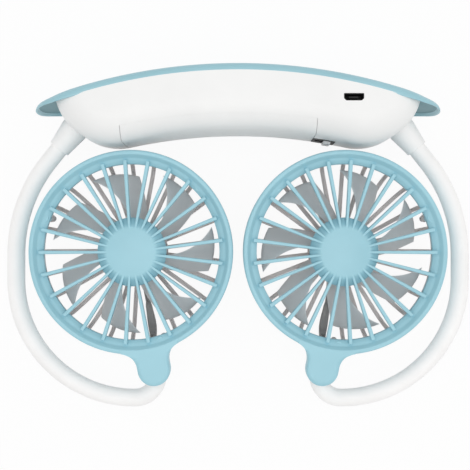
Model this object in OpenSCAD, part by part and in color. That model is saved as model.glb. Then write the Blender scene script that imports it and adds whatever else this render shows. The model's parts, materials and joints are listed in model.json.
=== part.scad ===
// Electric neck fan. A curved casing sits behind the neck, and two bendable arms carry a
// fan head each. It lies folded flat on a table here, with both front grilles facing up.
// Millimetres. +Z is up from the table, +Y points from the neck to the back cover.
// Inside the file Y starts at the back cover's outermost line, and place() centres the whole.

/* [Casing] */
// Height of the casing above the table
casing_h = 41; // [39:0.5:46]
// Half of the back cover's width
cover_half_w = 87.5; // [84:0.5:94]
// Thickness of the back cover
cover_t = 2; // [1.6:0.1:2.6]
// Outer radius of the back cover's curve
cover_curve_r = 218; // [205:1:260]
// Depth of the white body at its middle
body_depth = 24.6; // [24.4:0.2:27]
// Radius of the wall that faces the neck
neck_curve_r = 225; // [210:1:260]
// Wall of the white body
body_wall = 1.8; // [1.5:0.1:2]
// Radius of the body's ends, seen from above
corner_r = 24; // [22:0.5:25]
// Half of the distance between the centres of the body's round ends
corner_x = 53; // [51:0.5:56]
// Rounding along the edges of the neck wall
neck_round = 9; // [7:0.5:11]
// Left and right edge of the panel set into the neck wall
panel_x = [-48.5, 32.4]; // [-60:0.1:60]

/* [Battery and board] */
// Diameter of the battery cell
cell_d = 18.2; // [14:0.1:18.4]
// Length of the battery cell
cell_len = 65; // [50:1:67]
// Width of the charging socket's cut-out
port_w = 8.2; // [7.6:0.1:9.2]
// Thickness of the circuit board
board_t = 1.2; // [0.8:0.1:1.6]

/* [Arms] */
// Diameter of an arm's soft sleeve
tube_d = 7.6; // [7:0.1:8]
// Diameter of the wound core inside the arm
core_d = 4.2; // [3.4:0.1:5]
// Diameter of the bending collar where it leaves the body
collar_root_d = 11.9; // [11:0.1:13]
// Diameter of the bending collar at its mouth
collar_mouth_d = 8.8; // [8.6:0.1:10]
// Length of the bending collar outside the body
collar_out = 9.5; // [7:0.5:12]
// Height of the arms' centre line above the table
arm_z = 17; // [16:0.25:18]
// Length of arm between the collar's mouth and the first bend
root_free = 9.1; // [6:0.1:12]
// Free space between an arm and its head at the outermost point
arm_gap = 4.6; // [4.4:0.1:6]
// Radius of the hook that leads into the head
hook_r = 9.8; // [9:0.1:11]

/* [Fan heads] */
// Diameter of a fan head
head_d = 86.2; // [82:0.2:86.8]
// Depth of a fan head
head_h = 30; // [28:0.5:32]
// Distance from the middle of the part to a head's centre
head_x = 45.2; // [45:0.1:46]
// Distance from the back cover's outermost line to the heads' centres
head_back = 77.8; // [77.4:0.1:80]
// Lean of each head's lobe towards the middle, in degrees
head_lean = 11; // [0:0.5:14]
// Number of spokes in each grille
spoke_count = 25; // [18:1:30]
// Width of a front spoke at the rim
spoke_rim_w = 1.6; // [1.2:0.1:2]
// Width of a front spoke at the hub
spoke_hub_w = 0.95; // [0.7:0.05:1.3]
// Width of the ring round the front opening
ring_w = 6.5; // [5.5:0.1:7.5]
// Distance from a head's centre to the end of its lobe
lobe_reach = 57.5; // [56:0.25:59]
// Diameter of the lobe's round end
lobe_d = 13.8; // [12:0.2:15]

/* [Impellers] */
// Number of blades
blade_count = 7; // [5:1:9]
// Radius of the blades' tips
blade_r = 35.4; // [32:0.1:36.4]
// Thickness of a blade
blade_t = 1.1; // [0.8:0.1:1.6]
// Radius of the impeller's hub
fan_hub_r = 13.2; // [12.6:0.1:14]
// Angle of the first blade's tip on the left head and on the right head
fan_phase = [17.7, 40.4]; // [0:0.1:360]
// Radius of the motor
motor_r = 10.2; // [8.5:0.1:10.6]

/* [Hidden] */
// Clearances and the one overrun that all cuts share
over = 0.5;
face_gap = 0.02;
seat_gap = 0.1;
slip_gap = 0.3;

// Roundness of true curves
fine = 96;
wide = 360;

// Casing, worked out from the sizes above. Y is zero at the cover's outermost line
cover_in_r = cover_curve_r - cover_t;
neck_y = -(cover_t + body_depth);
neck_c_y = neck_y - neck_curve_r;
body_half_w = corner_x + corner_r;
corner_y = neck_c_y + sqrt(pow(neck_curve_r + corner_r, 2) - pow(corner_x, 2));
casing_mid = casing_h / 2;
cover_edge = 0.6;
cover_rim_w = 1.7;
cover_rim_h = 0.7;
back_margin = 1;
curve_span = 60;

// The body's round ends stand this much inside the middle, and meet it where both walls run on
end_step = 0.1;
end_meet_deg = asin(corner_x / (neck_curve_r + corner_r));

// Panel in the neck wall
panel_t = 1;
panel_edge_deg = 12;

// Bending collars and the places where they sit on the body's round ends
collar_seat_deg = 180 + 41.4;
arm_out_deg = 180 + 51.5;
collar_in = 6;
collar_lip = 0.8;
collar_floor_t = 1.6;
boss_wall = 1.8;
tube_r = tube_d / 2;
core_r = core_d / 2;
collar_seat = [-corner_x + corner_r * cos(collar_seat_deg), corner_y + corner_r * sin(collar_seat_deg)];

// Heads and their lobes
head_r = head_d / 2;
head_y = -head_back;
lobe_r = lobe_d / 2;
lobe_c = lobe_reach - lobe_r;
lobe_half_w = 6.9;
lobe_fillet = 7.5;
clamp_t = 3.2;
lobe_t = head_h - arm_z - tube_r - clamp_t;
lobe_drop = 0.3;
split_drop = 13;
split_z = head_h - split_drop;

// Arm path, backwards from the lobe: the hook, the lower arc, a straight and the upper arc
lobe_out = lobe_reach - head_r;
plug_share = 0.3125;
plug_in = lobe_out * plug_share;
arm_end_r = lobe_reach - plug_in;
left_axis_deg = 90 + head_lean;
arm_end = [-head_x - arm_end_r * cos(left_axis_deg), head_y - arm_end_r * sin(left_axis_deg)];
hook_c = arm_end + hook_r * [-cos(head_lean), -sin(head_lean)];
arm_left_x = -(head_x + head_r + arm_gap + tube_r);
arm_lead = collar_out + root_free;
root_end = collar_seat + arm_lead * [cos(arm_out_deg), sin(arm_out_deg)];
upper_r = (root_end.x - arm_left_x) / (1 + sin(arm_out_deg));
upper_c = root_end + upper_r * [-sin(arm_out_deg), cos(arm_out_deg)];
upper_deg = 270 - arm_out_deg;
bend_len = 8;
hook_lead = 0.6;
arm_bottom_y = hook_c.y - hook_r;
lower_r = min(hook_c.x - hook_lead - arm_left_x, upper_c.y - bend_len - arm_bottom_y);
lower_c = [arm_left_x + lower_r, arm_bottom_y + lower_r];
origin_y = -(arm_bottom_y - tube_r) / 2;

// Ferrules that end the wound core
ferrule_share = 0.4583;
ferrule_len = lobe_out * ferrule_share;
ferrule_r = tube_r;
root_ferrule_len = 2.6;
root_ferrule_r = 4.3;

// Front grille
edge_round = 1.5;
ring_wall = 1.8;
ring_top_t = 1.7;
band_w = 2.8;
slope_w = 2;
band_in_r = head_r - band_w;
step_in_r = band_in_r - slope_w;
opening_r = head_r - ring_w;
touch_share = 0.7;
step_h = 1.4;
skirt_wall = 1.5;
skirt_h = 4;
inner_round = 0.8;
dome_r = 10.8;
dome_drop = 1.1;
cone_r = 14.7;
cone_h = 3.4;
hub_wall = 1.6;
hub_lip = 1.2;
spoke_proud = 0.45;
spoke_h = 2.7;
spoke_in_share = 0.88;

// Rear grille
rim_drop = 5;
rear_open_top = split_z - rim_drop;
round_share = 0.75;
rear_round = rear_open_top * round_share;
rear_taper = 0.6;
rear_r = head_r - rear_taper;
rear_wall = 1.8;
rear_spoke_w = 1.8;
rear_hub_r = 13.4;
lip_t = 1.6;
lip_h = 3;
housing_half_w = 5.4;
housing_drop = 6.5;
housing_round = 2.4;
housing_len = 8;
column_r = 1.75;
column_drop = 6;
screw_r = 0.8;
screw_head_r = 1.35;
screw_head_h = 1;
screw_len = 9;
screw_turns = [0.5, 8.5, 16.5];

// Motor, from the rear to the front
cup_wall = 1.2;
cup_h = 4;
can_wall = 0.6;
can_z = 2.3;
can_short = 17.4;
can_h = head_h - can_short;
nose_r = 3.2;
nose_h = 1.4;
bush_r = 2.6;
bush_h = 3;
shaft_r = 1;
shaft_gap = 0.03;
rotor_r = 6.8;
rotor_margin = 2.6;
magnet_gap = 0.6;
magnet_t = 1.6;
cap_t = 1.8;

// Impeller
fan_top = 8;
fan_top_t = 1.6;
fan_skirt_z = 8.2;
fan_wall = 1.2;
fan_chamfer = 1.4;
fan_boss_r = 2.8;
blade_low = 8.6;
root_short = 18.6;
root_rise = head_h - root_short;
tip_less = 3;
tip_rise = root_rise - tip_less;
tip_cut = 2.2;
blade_sink = 0.5;
blade_rows = 6;
blade_cols = 6;

// Wires, sockets and small parts
lead_r = 0.45;
lead_x = 0.62;
lead_z = 3.1;
lead_sides = 6;
duct_half_w = 1.7;
duct_h = 3;
duct_wall = 0.5;
duct_reach = 2.5;
duct_end = rear_r - rear_round + duct_reach;
lead_hole_r = 1.5;
port_h = 3;
port_x = 47.1;
port_y = -14.4;
socket_wall = 0.3;
socket_len = 5.6;
socket_sunk = 0.5;
tongue_w = 3.9;
tongue_t = 0.7;
tongue_short = 1.2;
board_cell_gap = 4.5;
board_end_gap = 17;
board_low = 5;
board_high_gap = 4.5;
chip_t = 1;
chip_w = 4;
chip_share = 0.75;
post_r = 2.5;
post_inset = 4.5;
switch_x = 37.3;
switch_w = 9.6;
switch_z = [8.5, 22.5];
switch_plate_t = 1.2;
knob_w = 3;
knob_x = 1.3;
knob_h = 8.4;
knob_proud = 1.1;
knob_stem_w = 1.6;
knob_stem_h = 3.2;
knob_travel = 4;
switch_depth = 4.2;
cell_x = -6.5;
tab_t = 0.3;
tab_r = 4;
lead_bend = 1.8;
lead_pad = 2.7;
hook_w = 6;
hook_t = 1.2;
hook_len = 6;

// The circuit board stands beside the cell, from the casing's floor to its top
board_x = [cell_x + cell_len / 2 + board_cell_gap, body_half_w - board_end_gap];
board_z = [board_low, casing_h - board_high_gap];
board_y = port_y + port_h / 2 + face_gap;
post_x = board_x[1] - post_inset;
post_z = [board_z[0] + post_inset, board_z[1] - post_inset];

// Shared helpers

function arc_points(centre, r, a0, a1, n) =
    [for (i = [0:n]) centre + r * [cos(a0 + (a1 - a0) * i / n), sin(a0 + (a1 - a0) * i / n)]];

// Where a wall curved about [0, centre_y] stands at a given x
function curve_y(centre_y, r, x) = centre_y + sqrt(r * r - x * x);

module place() translate([0, origin_y, 0]) children();

// The right-hand side mirrors the left-hand one
module on_side(side) {
    place() if (side < 0) children(); else mirror([1, 0, 0]) children();
}

// A head's own frame: its centre on the table, with the lobe along -Y
module at_head(side) {
    place() translate([side * head_x, head_y, 0]) rotate([0, 0, -side * head_lean]) children();
}

// A profile in radius and height, turned about [0, centre_y] over the casing's width
module casing_curve(centre_y) {
    translate([0, centre_y, 0]) rotate([0, 0, 90 - curve_span / 2])
        rotate_extrude(angle = curve_span, $fn = wide) children();
}

// A flat oval as wide as given, with half-round ends, standing on a height
module oval_plan(half_w, low, high) {
    r = (high - low) / 2;
    translate([0, low + r]) {
        translate([-(half_w - r), -r]) square([2 * (half_w - r), 2 * r]);
        for (s = [-1, 1]) translate([s * (half_w - r), 0]) circle(r = r, $fn = fine);
    }
}

// The part of the cover's inner face that the body stands on
module body_back_plan() {
    half_w = body_half_w - back_margin;
    translate([-half_w, neck_round]) square([2 * half_w, casing_h - 2 * neck_round]);
    translate([neck_round - half_w, 0]) square([2 * (half_w - neck_round), casing_h]);
    for (s = [-1, 1], z = [neck_round, casing_h - neck_round])
        translate([s * (half_w - neck_round), z]) circle(r = neck_round, $fn = fine);
}

// A plan drawn in x and height, pushed through the casing along Y
module through_casing() {
    translate([0, over, 0]) rotate([90, 0, 0]) linear_extrude(height = cover_curve_r) children();
}

// A tube of rings along a route of points, each ring turned square to the route
function unit(v) = v / norm(v);
function heading(route, i) = unit(route[min(i + 1, len(route) - 1)] - route[max(i - 1, 0)]);
function ring_points(p, t, ref, r, sides) =
    let (u = unit(cross(t, ref)), v = cross(t, u))
    [for (k = [0:sides - 1]) p + r * (u * cos(360 * k / sides) + v * sin(360 * k / sides))];
module wire(route, ref, r, sides) {
    n = len(route);
    points = [for (i = [0:n - 1]) each ring_points(route[i], heading(route, i), ref, r, sides)];
    polyhedron(points, concat(
        [[for (k = [0:sides - 1]) k]],
        [for (i = [0:n - 2]) for (k = [0:sides - 1])
            [i * sides + k, (i + 1) * sides + k, (i + 1) * sides + (k + 1) % sides]],
        [for (i = [0:n - 2]) for (k = [0:sides - 1])
            [i * sides + k, (i + 1) * sides + (k + 1) % sides, i * sides + (k + 1) % sides]],
        [[for (k = [0:sides - 1]) n * sides - 1 - k]]));
}

// Casing

module back_cover() color([0.66, 0.83, 0.88]) place() {
    difference() {
        intersection() {
            casing_curve(-cover_curve_r) translate([cover_in_r, -over])
                square([cover_t, casing_h + 2 * over]);
            through_casing() oval_plan(cover_half_w, 0, casing_h);
        }
        // The hollow inside the rim of the cover's two free ends
        intersection() {
            casing_curve(-cover_curve_r) translate([cover_in_r - over, -over])
                square([over + cover_rim_h, casing_h + 2 * over]);
            through_casing() difference() {
                oval_plan(cover_half_w - cover_rim_w, cover_rim_w, casing_h - cover_rim_w);
                body_back_plan();
            }
        }
    }
    // Four snap hooks inside the body's top and bottom walls
    for (x = [-corner_x / 2, corner_x / 2], s = [-1, 1])
        translate([x, curve_y(-cover_curve_r, cover_in_r, x), casing_mid])
            mirror([0, 0, s < 0 ? 1 : 0]) snap_hook();
}

module snap_hook() {
    translate([-hook_w / 2, -hook_len, casing_mid - body_wall - seat_gap - hook_t])
        cube([hook_w, hook_len + cover_t / 2, hook_t]);
}

// The neck wall's section, with its two rounded edges, set in from the surface by inset
module neck_section(inset) {
    behind = 2 * body_depth;
    translate([neck_curve_r + neck_round, inset]) square([behind, casing_h - 2 * inset]);
    translate([neck_curve_r + inset, neck_round]) square([behind, casing_h - 2 * neck_round]);
    for (z = [neck_round, casing_h - neck_round])
        translate([neck_curve_r + neck_round, z]) circle(r = neck_round - inset, $fn = fine);
}

// A round end's section, from its axis to its rounded edges
module end_section(inset) {
    translate([0, inset]) square([corner_r - neck_round, casing_h - 2 * inset]);
    translate([0, neck_round]) square([corner_r - inset, casing_h - 2 * neck_round]);
    for (z = [neck_round, casing_h - neck_round])
        translate([corner_r - neck_round, z]) circle(r = neck_round - inset, $fn = fine);
}

// The whole body set in by inset: the middle, turned about the neck, and two round ends
module body_form(inset) {
    intersection() {
        union() {
            translate([0, neck_c_y, 0]) rotate([0, 0, 90 - end_meet_deg])
                rotate_extrude(angle = 2 * end_meet_deg, $fn = wide) neck_section(inset);
            for (s = [-1, 1]) translate([s * corner_x, corner_y, 0])
                rotate_extrude($fn = wide) end_section(inset + end_step);
        }
        translate([0, -cover_curve_r, 0]) cylinder(r = cover_in_r - (inset > 0 ? -over : face_gap),
            h = casing_h, $fn = wide);
    }
}

// The layer of the neck wall that the panel takes, from inset down to depth
module panel_band(inset, depth, grow) {
    grow_deg = grow * 360 / (2 * PI * neck_round);
    reach = 3 * body_depth;
    a = 90 + panel_edge_deg - grow_deg;
    from = asin((panel_x[0] - grow) / neck_curve_r);
    to = asin((panel_x[1] + grow) / neck_curve_r);
    translate([0, neck_c_y, 0]) rotate([0, 0, 90 - to]) rotate_extrude(angle = to - from, $fn = wide)
        difference() {
            neck_section(inset);
            neck_section(depth);
            for (top = [0, 1]) translate([0, top * casing_h]) mirror([0, 1 - top])
                translate([neck_curve_r + neck_round, -neck_round])
                    polygon([[0, 0], reach * [cos(a), sin(a)], [reach, reach], [reach, 0]]);
        }
}

// A collar's own frame: its root on the body's surface, with +Z along the arm
module at_collar() {
    translate([collar_seat.x, collar_seat.y, arm_z]) rotate([0, 0, arm_out_deg]) rotate([0, 90, 0])
        children();
}

module body_shell() color([0.95, 0.95, 0.95]) place() difference() {
    union() {
        difference() {
            body_form(0);
            body_form(body_wall);
        }
        // Bosses round the collars' roots, and posts that carry the circuit board
        intersection() {
            union() {
                for (s = [0, 1]) mirror([s, 0, 0]) at_collar() translate([0, 0, -(collar_in + collar_floor_t)])
                    cylinder(r = collar_root_d / 2 + boss_wall, h = collar_in + collar_floor_t + corner_r / 2,
                        $fn = fine);
                for (z = post_z) translate([post_x, board_y - face_gap, z]) rotate([90, 0, 0])
                    cylinder(r = post_r, h = corner_r, $fn = fine);
            }
            body_form(body_wall / 2);
        }
    }
    for (s = [0, 1]) mirror([s, 0, 0]) at_collar() {
        translate([0, 0, -collar_in]) cylinder(r = collar_root_d / 2 + face_gap, h = collar_in + corner_r,
            $fn = fine);
        translate([0, 0, -corner_r]) cylinder(r = tube_r + seat_gap, h = corner_r, $fn = fine);
    }
    for (z = post_z) translate([post_x, board_y, z]) rotate([90, 0, 0])
        cylinder(r = screw_r, h = screw_len, $fn = fine);
    // Recess of the neck panel, the switch plate's opening and the charging socket's cut-out
    panel_band(-over, panel_t, seat_gap);
    at_switch() translate([-switch_w / 2 - seat_gap, -over, switch_z[0] - seat_gap])
        cube([switch_w + 2 * seat_gap, 2 * body_wall + over, switch_z[1] - switch_z[0] + 2 * seat_gap]);
    translate([port_x, port_y, casing_h - body_wall - over])
        linear_extrude(height = body_wall + 2 * over)
            port_outline(port_w + 2 * seat_gap, port_h + 2 * seat_gap);
}

module neck_panel() color([0.93, 0.93, 0.93]) place() panel_band(0, panel_t - face_gap, 0);

module arm_collar(side) color([0.94, 0.94, 0.94]) on_side(side) at_collar() {
    root = collar_root_d / 2;
    mouth = collar_mouth_d / 2;
    bore = tube_r + seat_gap;
    rotate_extrude($fn = fine) polygon([
        [bore, -collar_in + face_gap],
        [root, -collar_in + face_gap],
        [root, collar_lip],
        [mouth, collar_out - collar_lip],
        [(mouth + bore) / 2, collar_out],
        [bore, collar_out]]);
}

// Switch in the neck wall

module at_switch() {
    translate([0, neck_c_y, 0]) rotate([0, 0, -asin(switch_x / neck_curve_r)])
        translate([0, neck_curve_r, 0]) children();
}
knob_slot = knob_travel + knob_stem_w + 2 * slip_gap;
knob_z = (switch_z[0] + switch_z[1]) / 2;

module switch_plate() color([0.12, 0.12, 0.13]) place() at_switch() difference() {
    translate([-switch_w / 2, face_gap, switch_z[0]])
        cube([switch_w, switch_plate_t, switch_z[1] - switch_z[0]]);
    translate([knob_x + knob_stem_w / 2 + slip_gap - knob_slot, -over, knob_z - knob_stem_h / 2 - slip_gap])
        cube([knob_slot, switch_plate_t + 2 * over, knob_stem_h + 2 * slip_gap]);
}

module switch_body() color([0.55, 0.56, 0.58]) place() at_switch() difference() {
    translate([-switch_w / 2, switch_plate_t + 2 * face_gap, switch_z[0]])
        cube([switch_w, switch_depth, switch_z[1] - switch_z[0]]);
    translate([knob_x + knob_stem_w / 2 + slip_gap - knob_slot, switch_plate_t - over,
        knob_z - knob_stem_h / 2 - slip_gap])
        cube([knob_slot, switch_depth / 2 + over, knob_stem_h + 2 * slip_gap]);
}

module slide_knob() color([0.95, 0.95, 0.95]) place() at_switch() translate([knob_x, 0, knob_z]) {
    translate([0, face_gap - seat_gap, 0]) rotate([90, 0, 0]) linear_extrude(height = knob_proud)
        polygon([[-knob_w / 2, -knob_h / 2], [knob_w / 2, -knob_h / 2],
            [knob_w / 2, knob_h / 2], [-knob_w / 2, knob_h / 2]]);
    translate([-knob_stem_w / 2, -seat_gap - over, -knob_stem_h / 2])
        cube([knob_stem_w, switch_plate_t + switch_depth / 2 + over - seat_gap, knob_stem_h]);
}

// Battery, board and charging socket

cell_r = cell_d / 2;
cell_end_x = max(abs(cell_x - cell_len / 2), abs(cell_x + cell_len / 2));
cell_y = (curve_y(-cover_curve_r, cover_in_r, cell_end_x) + neck_y + body_wall) / 2;

module battery_cell() color([0.35, 0.55, 0.75]) place() {
    translate([cell_x - cell_len / 2, cell_y, casing_mid]) rotate([0, 90, 0])
        rotate_extrude($fn = fine) polygon([[0, 0], [cell_r - cover_edge, 0], [cell_r, cover_edge],
            [cell_r, cell_len - cover_edge], [cell_r - cover_edge, cell_len], [0, cell_len]]);
}

module battery_tabs() color([0.75, 0.75, 0.72]) place()
    for (s = [-1, 1])
        translate([cell_x + s * (cell_len / 2 + face_gap + tab_t / 2), cell_y, casing_mid])
            rotate([0, 90, 0]) cylinder(r = tab_r, h = tab_t, center = true, $fn = fine);

module battery_leads() color([0.75, 0.1, 0.1]) place() {
    over_cell = casing_mid + cell_r + 2 * lead_r;
    board_face = board_y - lead_r - face_gap;
    tab_x = cell_len / 2 + tab_t + lead_r + 2 * face_gap;
    wire([[cell_x - tab_x, cell_y, casing_mid],
        [cell_x - tab_x, cell_y, over_cell - lead_bend],
        [cell_x - tab_x + lead_bend, cell_y, over_cell],
        [cell_x + cell_len / 2, cell_y, over_cell],
        [board_x[0] + 2 * lead_r, board_face, over_cell],
        [board_x[0] + 2 * lead_r + lead_pad, board_face, over_cell]], [0, 1, 0], lead_r, lead_sides);
    wire([[cell_x + tab_x, cell_y, casing_mid], [cell_x + tab_x + lead_r, cell_y + lead_r, casing_mid],
        [board_x[0] + 2 * lead_r, board_face, casing_mid],
        [board_x[0] + 2 * lead_r + lead_pad, board_face, casing_mid]], [0, 0, 1], lead_r, lead_sides);
}

module circuit_board() color([0.1, 0.4, 0.2]) place() difference() {
    translate([board_x[0], board_y, board_z[0]])
        cube([board_x[1] - board_x[0], board_t, board_z[1] - board_z[0]]);
    for (z = post_z) translate([post_x, board_y + 2 * board_t, z]) rotate([90, 0, 0])
        cylinder(r = screw_r + seat_gap, h = 3 * board_t, $fn = fine);
}

module board_screws() color([0.7, 0.7, 0.72]) place()
    for (z = post_z) translate([post_x, board_y + board_t + face_gap, z]) rotate([-90, 0, 0]) {
        cylinder(r = 2 * screw_r, h = screw_head_h, $fn = fine);
        translate([0, 0, -(screw_len / 2 + board_t)])
            cylinder(r = screw_r - face_gap, h = screw_len / 2 + board_t + screw_head_h / 2, $fn = fine);
    }

// Four chips in a row, every second one taller, spread over the board's free width
module board_chips() color([0.15, 0.15, 0.16]) place() {
    pitch = (board_x[1] - board_x[0] - chip_w) / 4;
    for (i = [0:3])
        translate([board_x[0] + chip_w / 2 + i * pitch, board_y - chip_t - face_gap,
            board_z[0] + (1 + i % 2) * chip_w])
            cube([pitch * chip_share, chip_t, chip_w * (1 + i % 2)]);
}

// A charging socket's outline: wide side towards the cover, lower corners cut off
corner_cut_share = 0.3;
module port_outline(w, h) {
    c = h * corner_cut_share;
    polygon([[-w / 2, h / 2], [w / 2, h / 2], [w / 2, -h / 2 + c], [w / 2 - c, -h / 2],
        [-w / 2 + c, -h / 2], [-w / 2, -h / 2 + c]]);
}

module usb_socket() color([0.6, 0.6, 0.62]) place()
    translate([port_x, port_y - face_gap, casing_h - socket_sunk - socket_len]) difference() {
        linear_extrude(height = socket_len) port_outline(port_w, port_h);
        translate([0, 0, socket_wall]) linear_extrude(height = socket_len)
            port_outline(port_w - 2 * socket_wall, port_h - 2 * socket_wall);
    }

module usb_tongue() color([0.1, 0.1, 0.11]) place()
    translate([port_x - tongue_w / 2, port_y - tongue_t / 2,
        casing_h - socket_sunk - socket_len + socket_wall + face_gap])
        cube([tongue_w, tongue_t, socket_len - socket_wall - tongue_short]);

// Arms, drawn for the left side

module tube_arc(centre, r, from, turn, r_out, r_in) {
    translate([centre.x, centre.y, arm_z]) rotate([0, 0, from])
        rotate_extrude(angle = turn, $fn = wide) translate([r, 0]) difference() {
            circle(r = r_out, $fn = fine);
            if (r_in > 0) circle(r = r_in, $fn = fine);
        }
}

// Small turns that leave a face's gap between two stretches of an arm
gap_deg = face_gap;
tip_gap_deg = 5 * gap_deg;
module root_ferrule(side) color([0.72, 0.72, 0.7]) on_side(side) at_collar()
    translate([0, 0, -(collar_in + collar_floor_t + root_ferrule_len)])
        cylinder(r = root_ferrule_r, h = root_ferrule_len - face_gap, $fn = fine);

module root_flex(side) color([0.94, 0.94, 0.94]) on_side(side) at_collar()
    translate([0, 0, -(collar_in + collar_floor_t)])
        cylinder(r = tube_r, h = arm_lead + collar_in + collar_floor_t - face_gap, $fn = fine);

module upper_arm(side) color([0.94, 0.94, 0.94]) on_side(side)
    tube_arc(upper_c, upper_r, arm_out_deg - 90, upper_deg - gap_deg, tube_r, core_r + seat_gap);

module upper_core(side) color([0.7, 0.7, 0.68]) on_side(side)
    tube_arc(upper_c, upper_r, arm_out_deg - 90, upper_deg - gap_deg, core_r, lead_hole_r / 2);

mid_top = upper_c.y;
module mid_flex(side) color([0.94, 0.94, 0.94]) on_side(side)
    translate([arm_left_x, lower_c.y + face_gap, arm_z]) rotate([-90, 0, 0])
        cylinder(r = tube_r, h = mid_top - lower_c.y - 2 * face_gap, $fn = fine);

module lower_arm(side) color([0.94, 0.94, 0.94]) on_side(side)
    tube_arc(lower_c, lower_r, 180, 90 - gap_deg, tube_r, core_r + seat_gap);

module lower_core(side) color([0.7, 0.7, 0.68]) on_side(side)
    tube_arc(lower_c, lower_r, 180, 90 - gap_deg, core_r, lead_hole_r / 2);

module tip_flex(side) color([0.94, 0.94, 0.94]) on_side(side) {
    translate([lower_c.x + face_gap, arm_bottom_y, arm_z]) rotate([0, 90, 0])
        cylinder(r = tube_r, h = hook_c.x - lower_c.x - face_gap, $fn = fine);
    tube_arc(hook_c, hook_r, 270, 90 + head_lean - tip_gap_deg, tube_r, 0);
}

module end_ferrule(side) color([0.72, 0.72, 0.7]) at_head(side)
    translate([0, -arm_end_r + face_gap, arm_z]) rotate([-90, 0, 0])
        cylinder(r = ferrule_r, h = ferrule_len, $fn = fine);

// Fan heads, drawn in their own frame with the lobe along -Y

// The lobe's plan: a neck between two fillets, and a round end
module lobe_plan() {
    fillet_x = lobe_half_w + lobe_fillet;
    fillet_y = -sqrt(pow(head_r + lobe_fillet, 2) - fillet_x * fillet_x);
    touch = [fillet_x, fillet_y] * head_r / (head_r + lobe_fillet);
    start_y = -(band_in_r + head_r) / 2;
    difference() {
        polygon([[-touch.x, touch.y], [-touch.x * touch_share, start_y], [touch.x * touch_share, start_y],
            [touch.x, touch.y], [fillet_x, fillet_y], [lobe_half_w, fillet_y], [lobe_half_w, -lobe_c],
            [-lobe_half_w, -lobe_c], [-lobe_half_w, fillet_y], [-fillet_x, fillet_y]]);
        for (s = [-1, 1]) translate([s * fillet_x, fillet_y]) circle(r = lobe_fillet, $fn = fine);
    }
    translate([0, -lobe_c]) circle(r = lobe_r, $fn = fine);
}

// A star of spokes that widen from the hub to the rim
module spoke_star(r0, r1, w0, w1) {
    for (k = [0:spoke_count - 1]) rotate(270 + 360 * k / spoke_count)
        polygon([[r0, -w0 / 2], [r1, -w1 / 2], [r1, w1 / 2], [r0, w0 / 2]]);
}

module front_ring_profile() {
    top = head_h;
    inner_top = head_h - step_h;
    polygon(concat(
        [[head_r - ring_wall, split_z + face_gap], [head_r, split_z + face_gap]],
        arc_points([head_r - edge_round, top - edge_round], edge_round, 0, 90, 5),
        [[band_in_r, top - face_gap], [step_in_r, inner_top]],
        arc_points([opening_r + inner_round, inner_top - inner_round], inner_round, 90, 180, 3),
        [[opening_r, inner_top - skirt_h], [opening_r + skirt_wall, inner_top - skirt_h],
            [opening_r + skirt_wall, inner_top - ring_top_t],
            [head_r - ring_wall, inner_top - ring_top_t]]));
}

module front_hub_profile() {
    dome_z = head_h - dome_drop;
    cone_z = dome_z - cone_h;
    bulge = (dome_r * dome_r + dome_drop * dome_drop) / (2 * dome_drop);
    n = 6;
    polygon(concat(
        [for (i = [0:n]) let (x = dome_r * i / n) [x, head_h - bulge + sqrt(bulge * bulge - x * x)]],
        [[cone_r, cone_z], [cone_r, cone_z - hub_lip], [cone_r - hub_wall, cone_z - hub_lip],
            [cone_r - hub_wall, cone_z - hub_wall / 2], [dome_r - hub_wall, dome_z - hub_wall],
            [0, head_h - hub_wall]]));
}

module front_grille(side) color([0.65, 0.82, 0.87]) at_head(side) {
    spoke_top = head_h - step_h + spoke_proud;
    difference() {
        rotate_extrude($fn = wide) front_ring_profile();
        lead_bore();
    }
    rotate_extrude($fn = fine) front_hub_profile();
    intersection() {
        rotate_extrude($fn = wide) polygon([
            [dome_r * spoke_in_share, spoke_top], [step_in_r + inner_round, spoke_top],
            [step_in_r + inner_round / 2, spoke_top - spoke_h], [cone_r, spoke_top - spoke_h],
            [dome_r + hub_wall, spoke_top - hub_wall], [dome_r * spoke_in_share, spoke_top - hub_wall / 2]]);
        linear_extrude(height = 2 * head_h)
            spoke_star(dome_r / 2, step_in_r + inner_round, spoke_hub_w, spoke_rim_w);
    }
    difference() {
        translate([0, 0, head_h - lobe_t]) linear_extrude(height = lobe_t - lobe_drop) lobe_plan();
        cylinder(r = head_r - ring_wall, h = head_h - ring_top_t, $fn = wide);
    }
    for (k = screw_turns) rotate([0, 0, 270 + 360 * k / spoke_count]) translate([column_c, 0, split_z + lip_h])
        difference() {
            cylinder(r = column_r, h = head_h - step_h - ring_top_t / 2 - split_z - lip_h, $fn = fine);
            translate([0, 0, -over])
                cylinder(r = screw_r, h = screw_len, $fn = fine);
        }
}

// The leads' way from the lobe through the rings' walls
module lead_bore() {
    translate([0, -lobe_reach, arm_z]) rotate([-90, 0, 0])
        cylinder(r = lead_hole_r, h = lobe_reach - head_r + 2 * ring_wall + lip_t, $fn = fine);
}

column_c = head_r - ring_wall - column_r;

module rear_bowl_profile() {
    c = [rear_r - rear_round, rear_round];
    n = 6;
    polygon(concat(arc_points(c, rear_round, -90, 0, n),
        [[rear_r + rear_taper * (rear_open_top - rear_round) / (split_z - rear_round), rear_open_top],
            [rear_r - rear_wall, rear_open_top]],
        arc_points(c, rear_round - rear_wall, 0, -90, n),
        [[rear_hub_r - rear_wall, rear_wall], [rear_hub_r - rear_wall, 0]]));
}

module rear_rim_profile() {
    polygon([[rear_r + rear_taper * (rear_open_top - rear_round) / (split_z - rear_round), rear_open_top],
        [head_r, split_z - face_gap], [head_r - ring_wall - seat_gap, split_z - face_gap],
        [head_r - ring_wall - seat_gap, split_z + lip_h], [head_r - ring_wall - lip_t, split_z + lip_h],
        [head_r - ring_wall - lip_t, rear_open_top + lip_t], [rear_r - rear_wall, rear_open_top]]);
}

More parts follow.
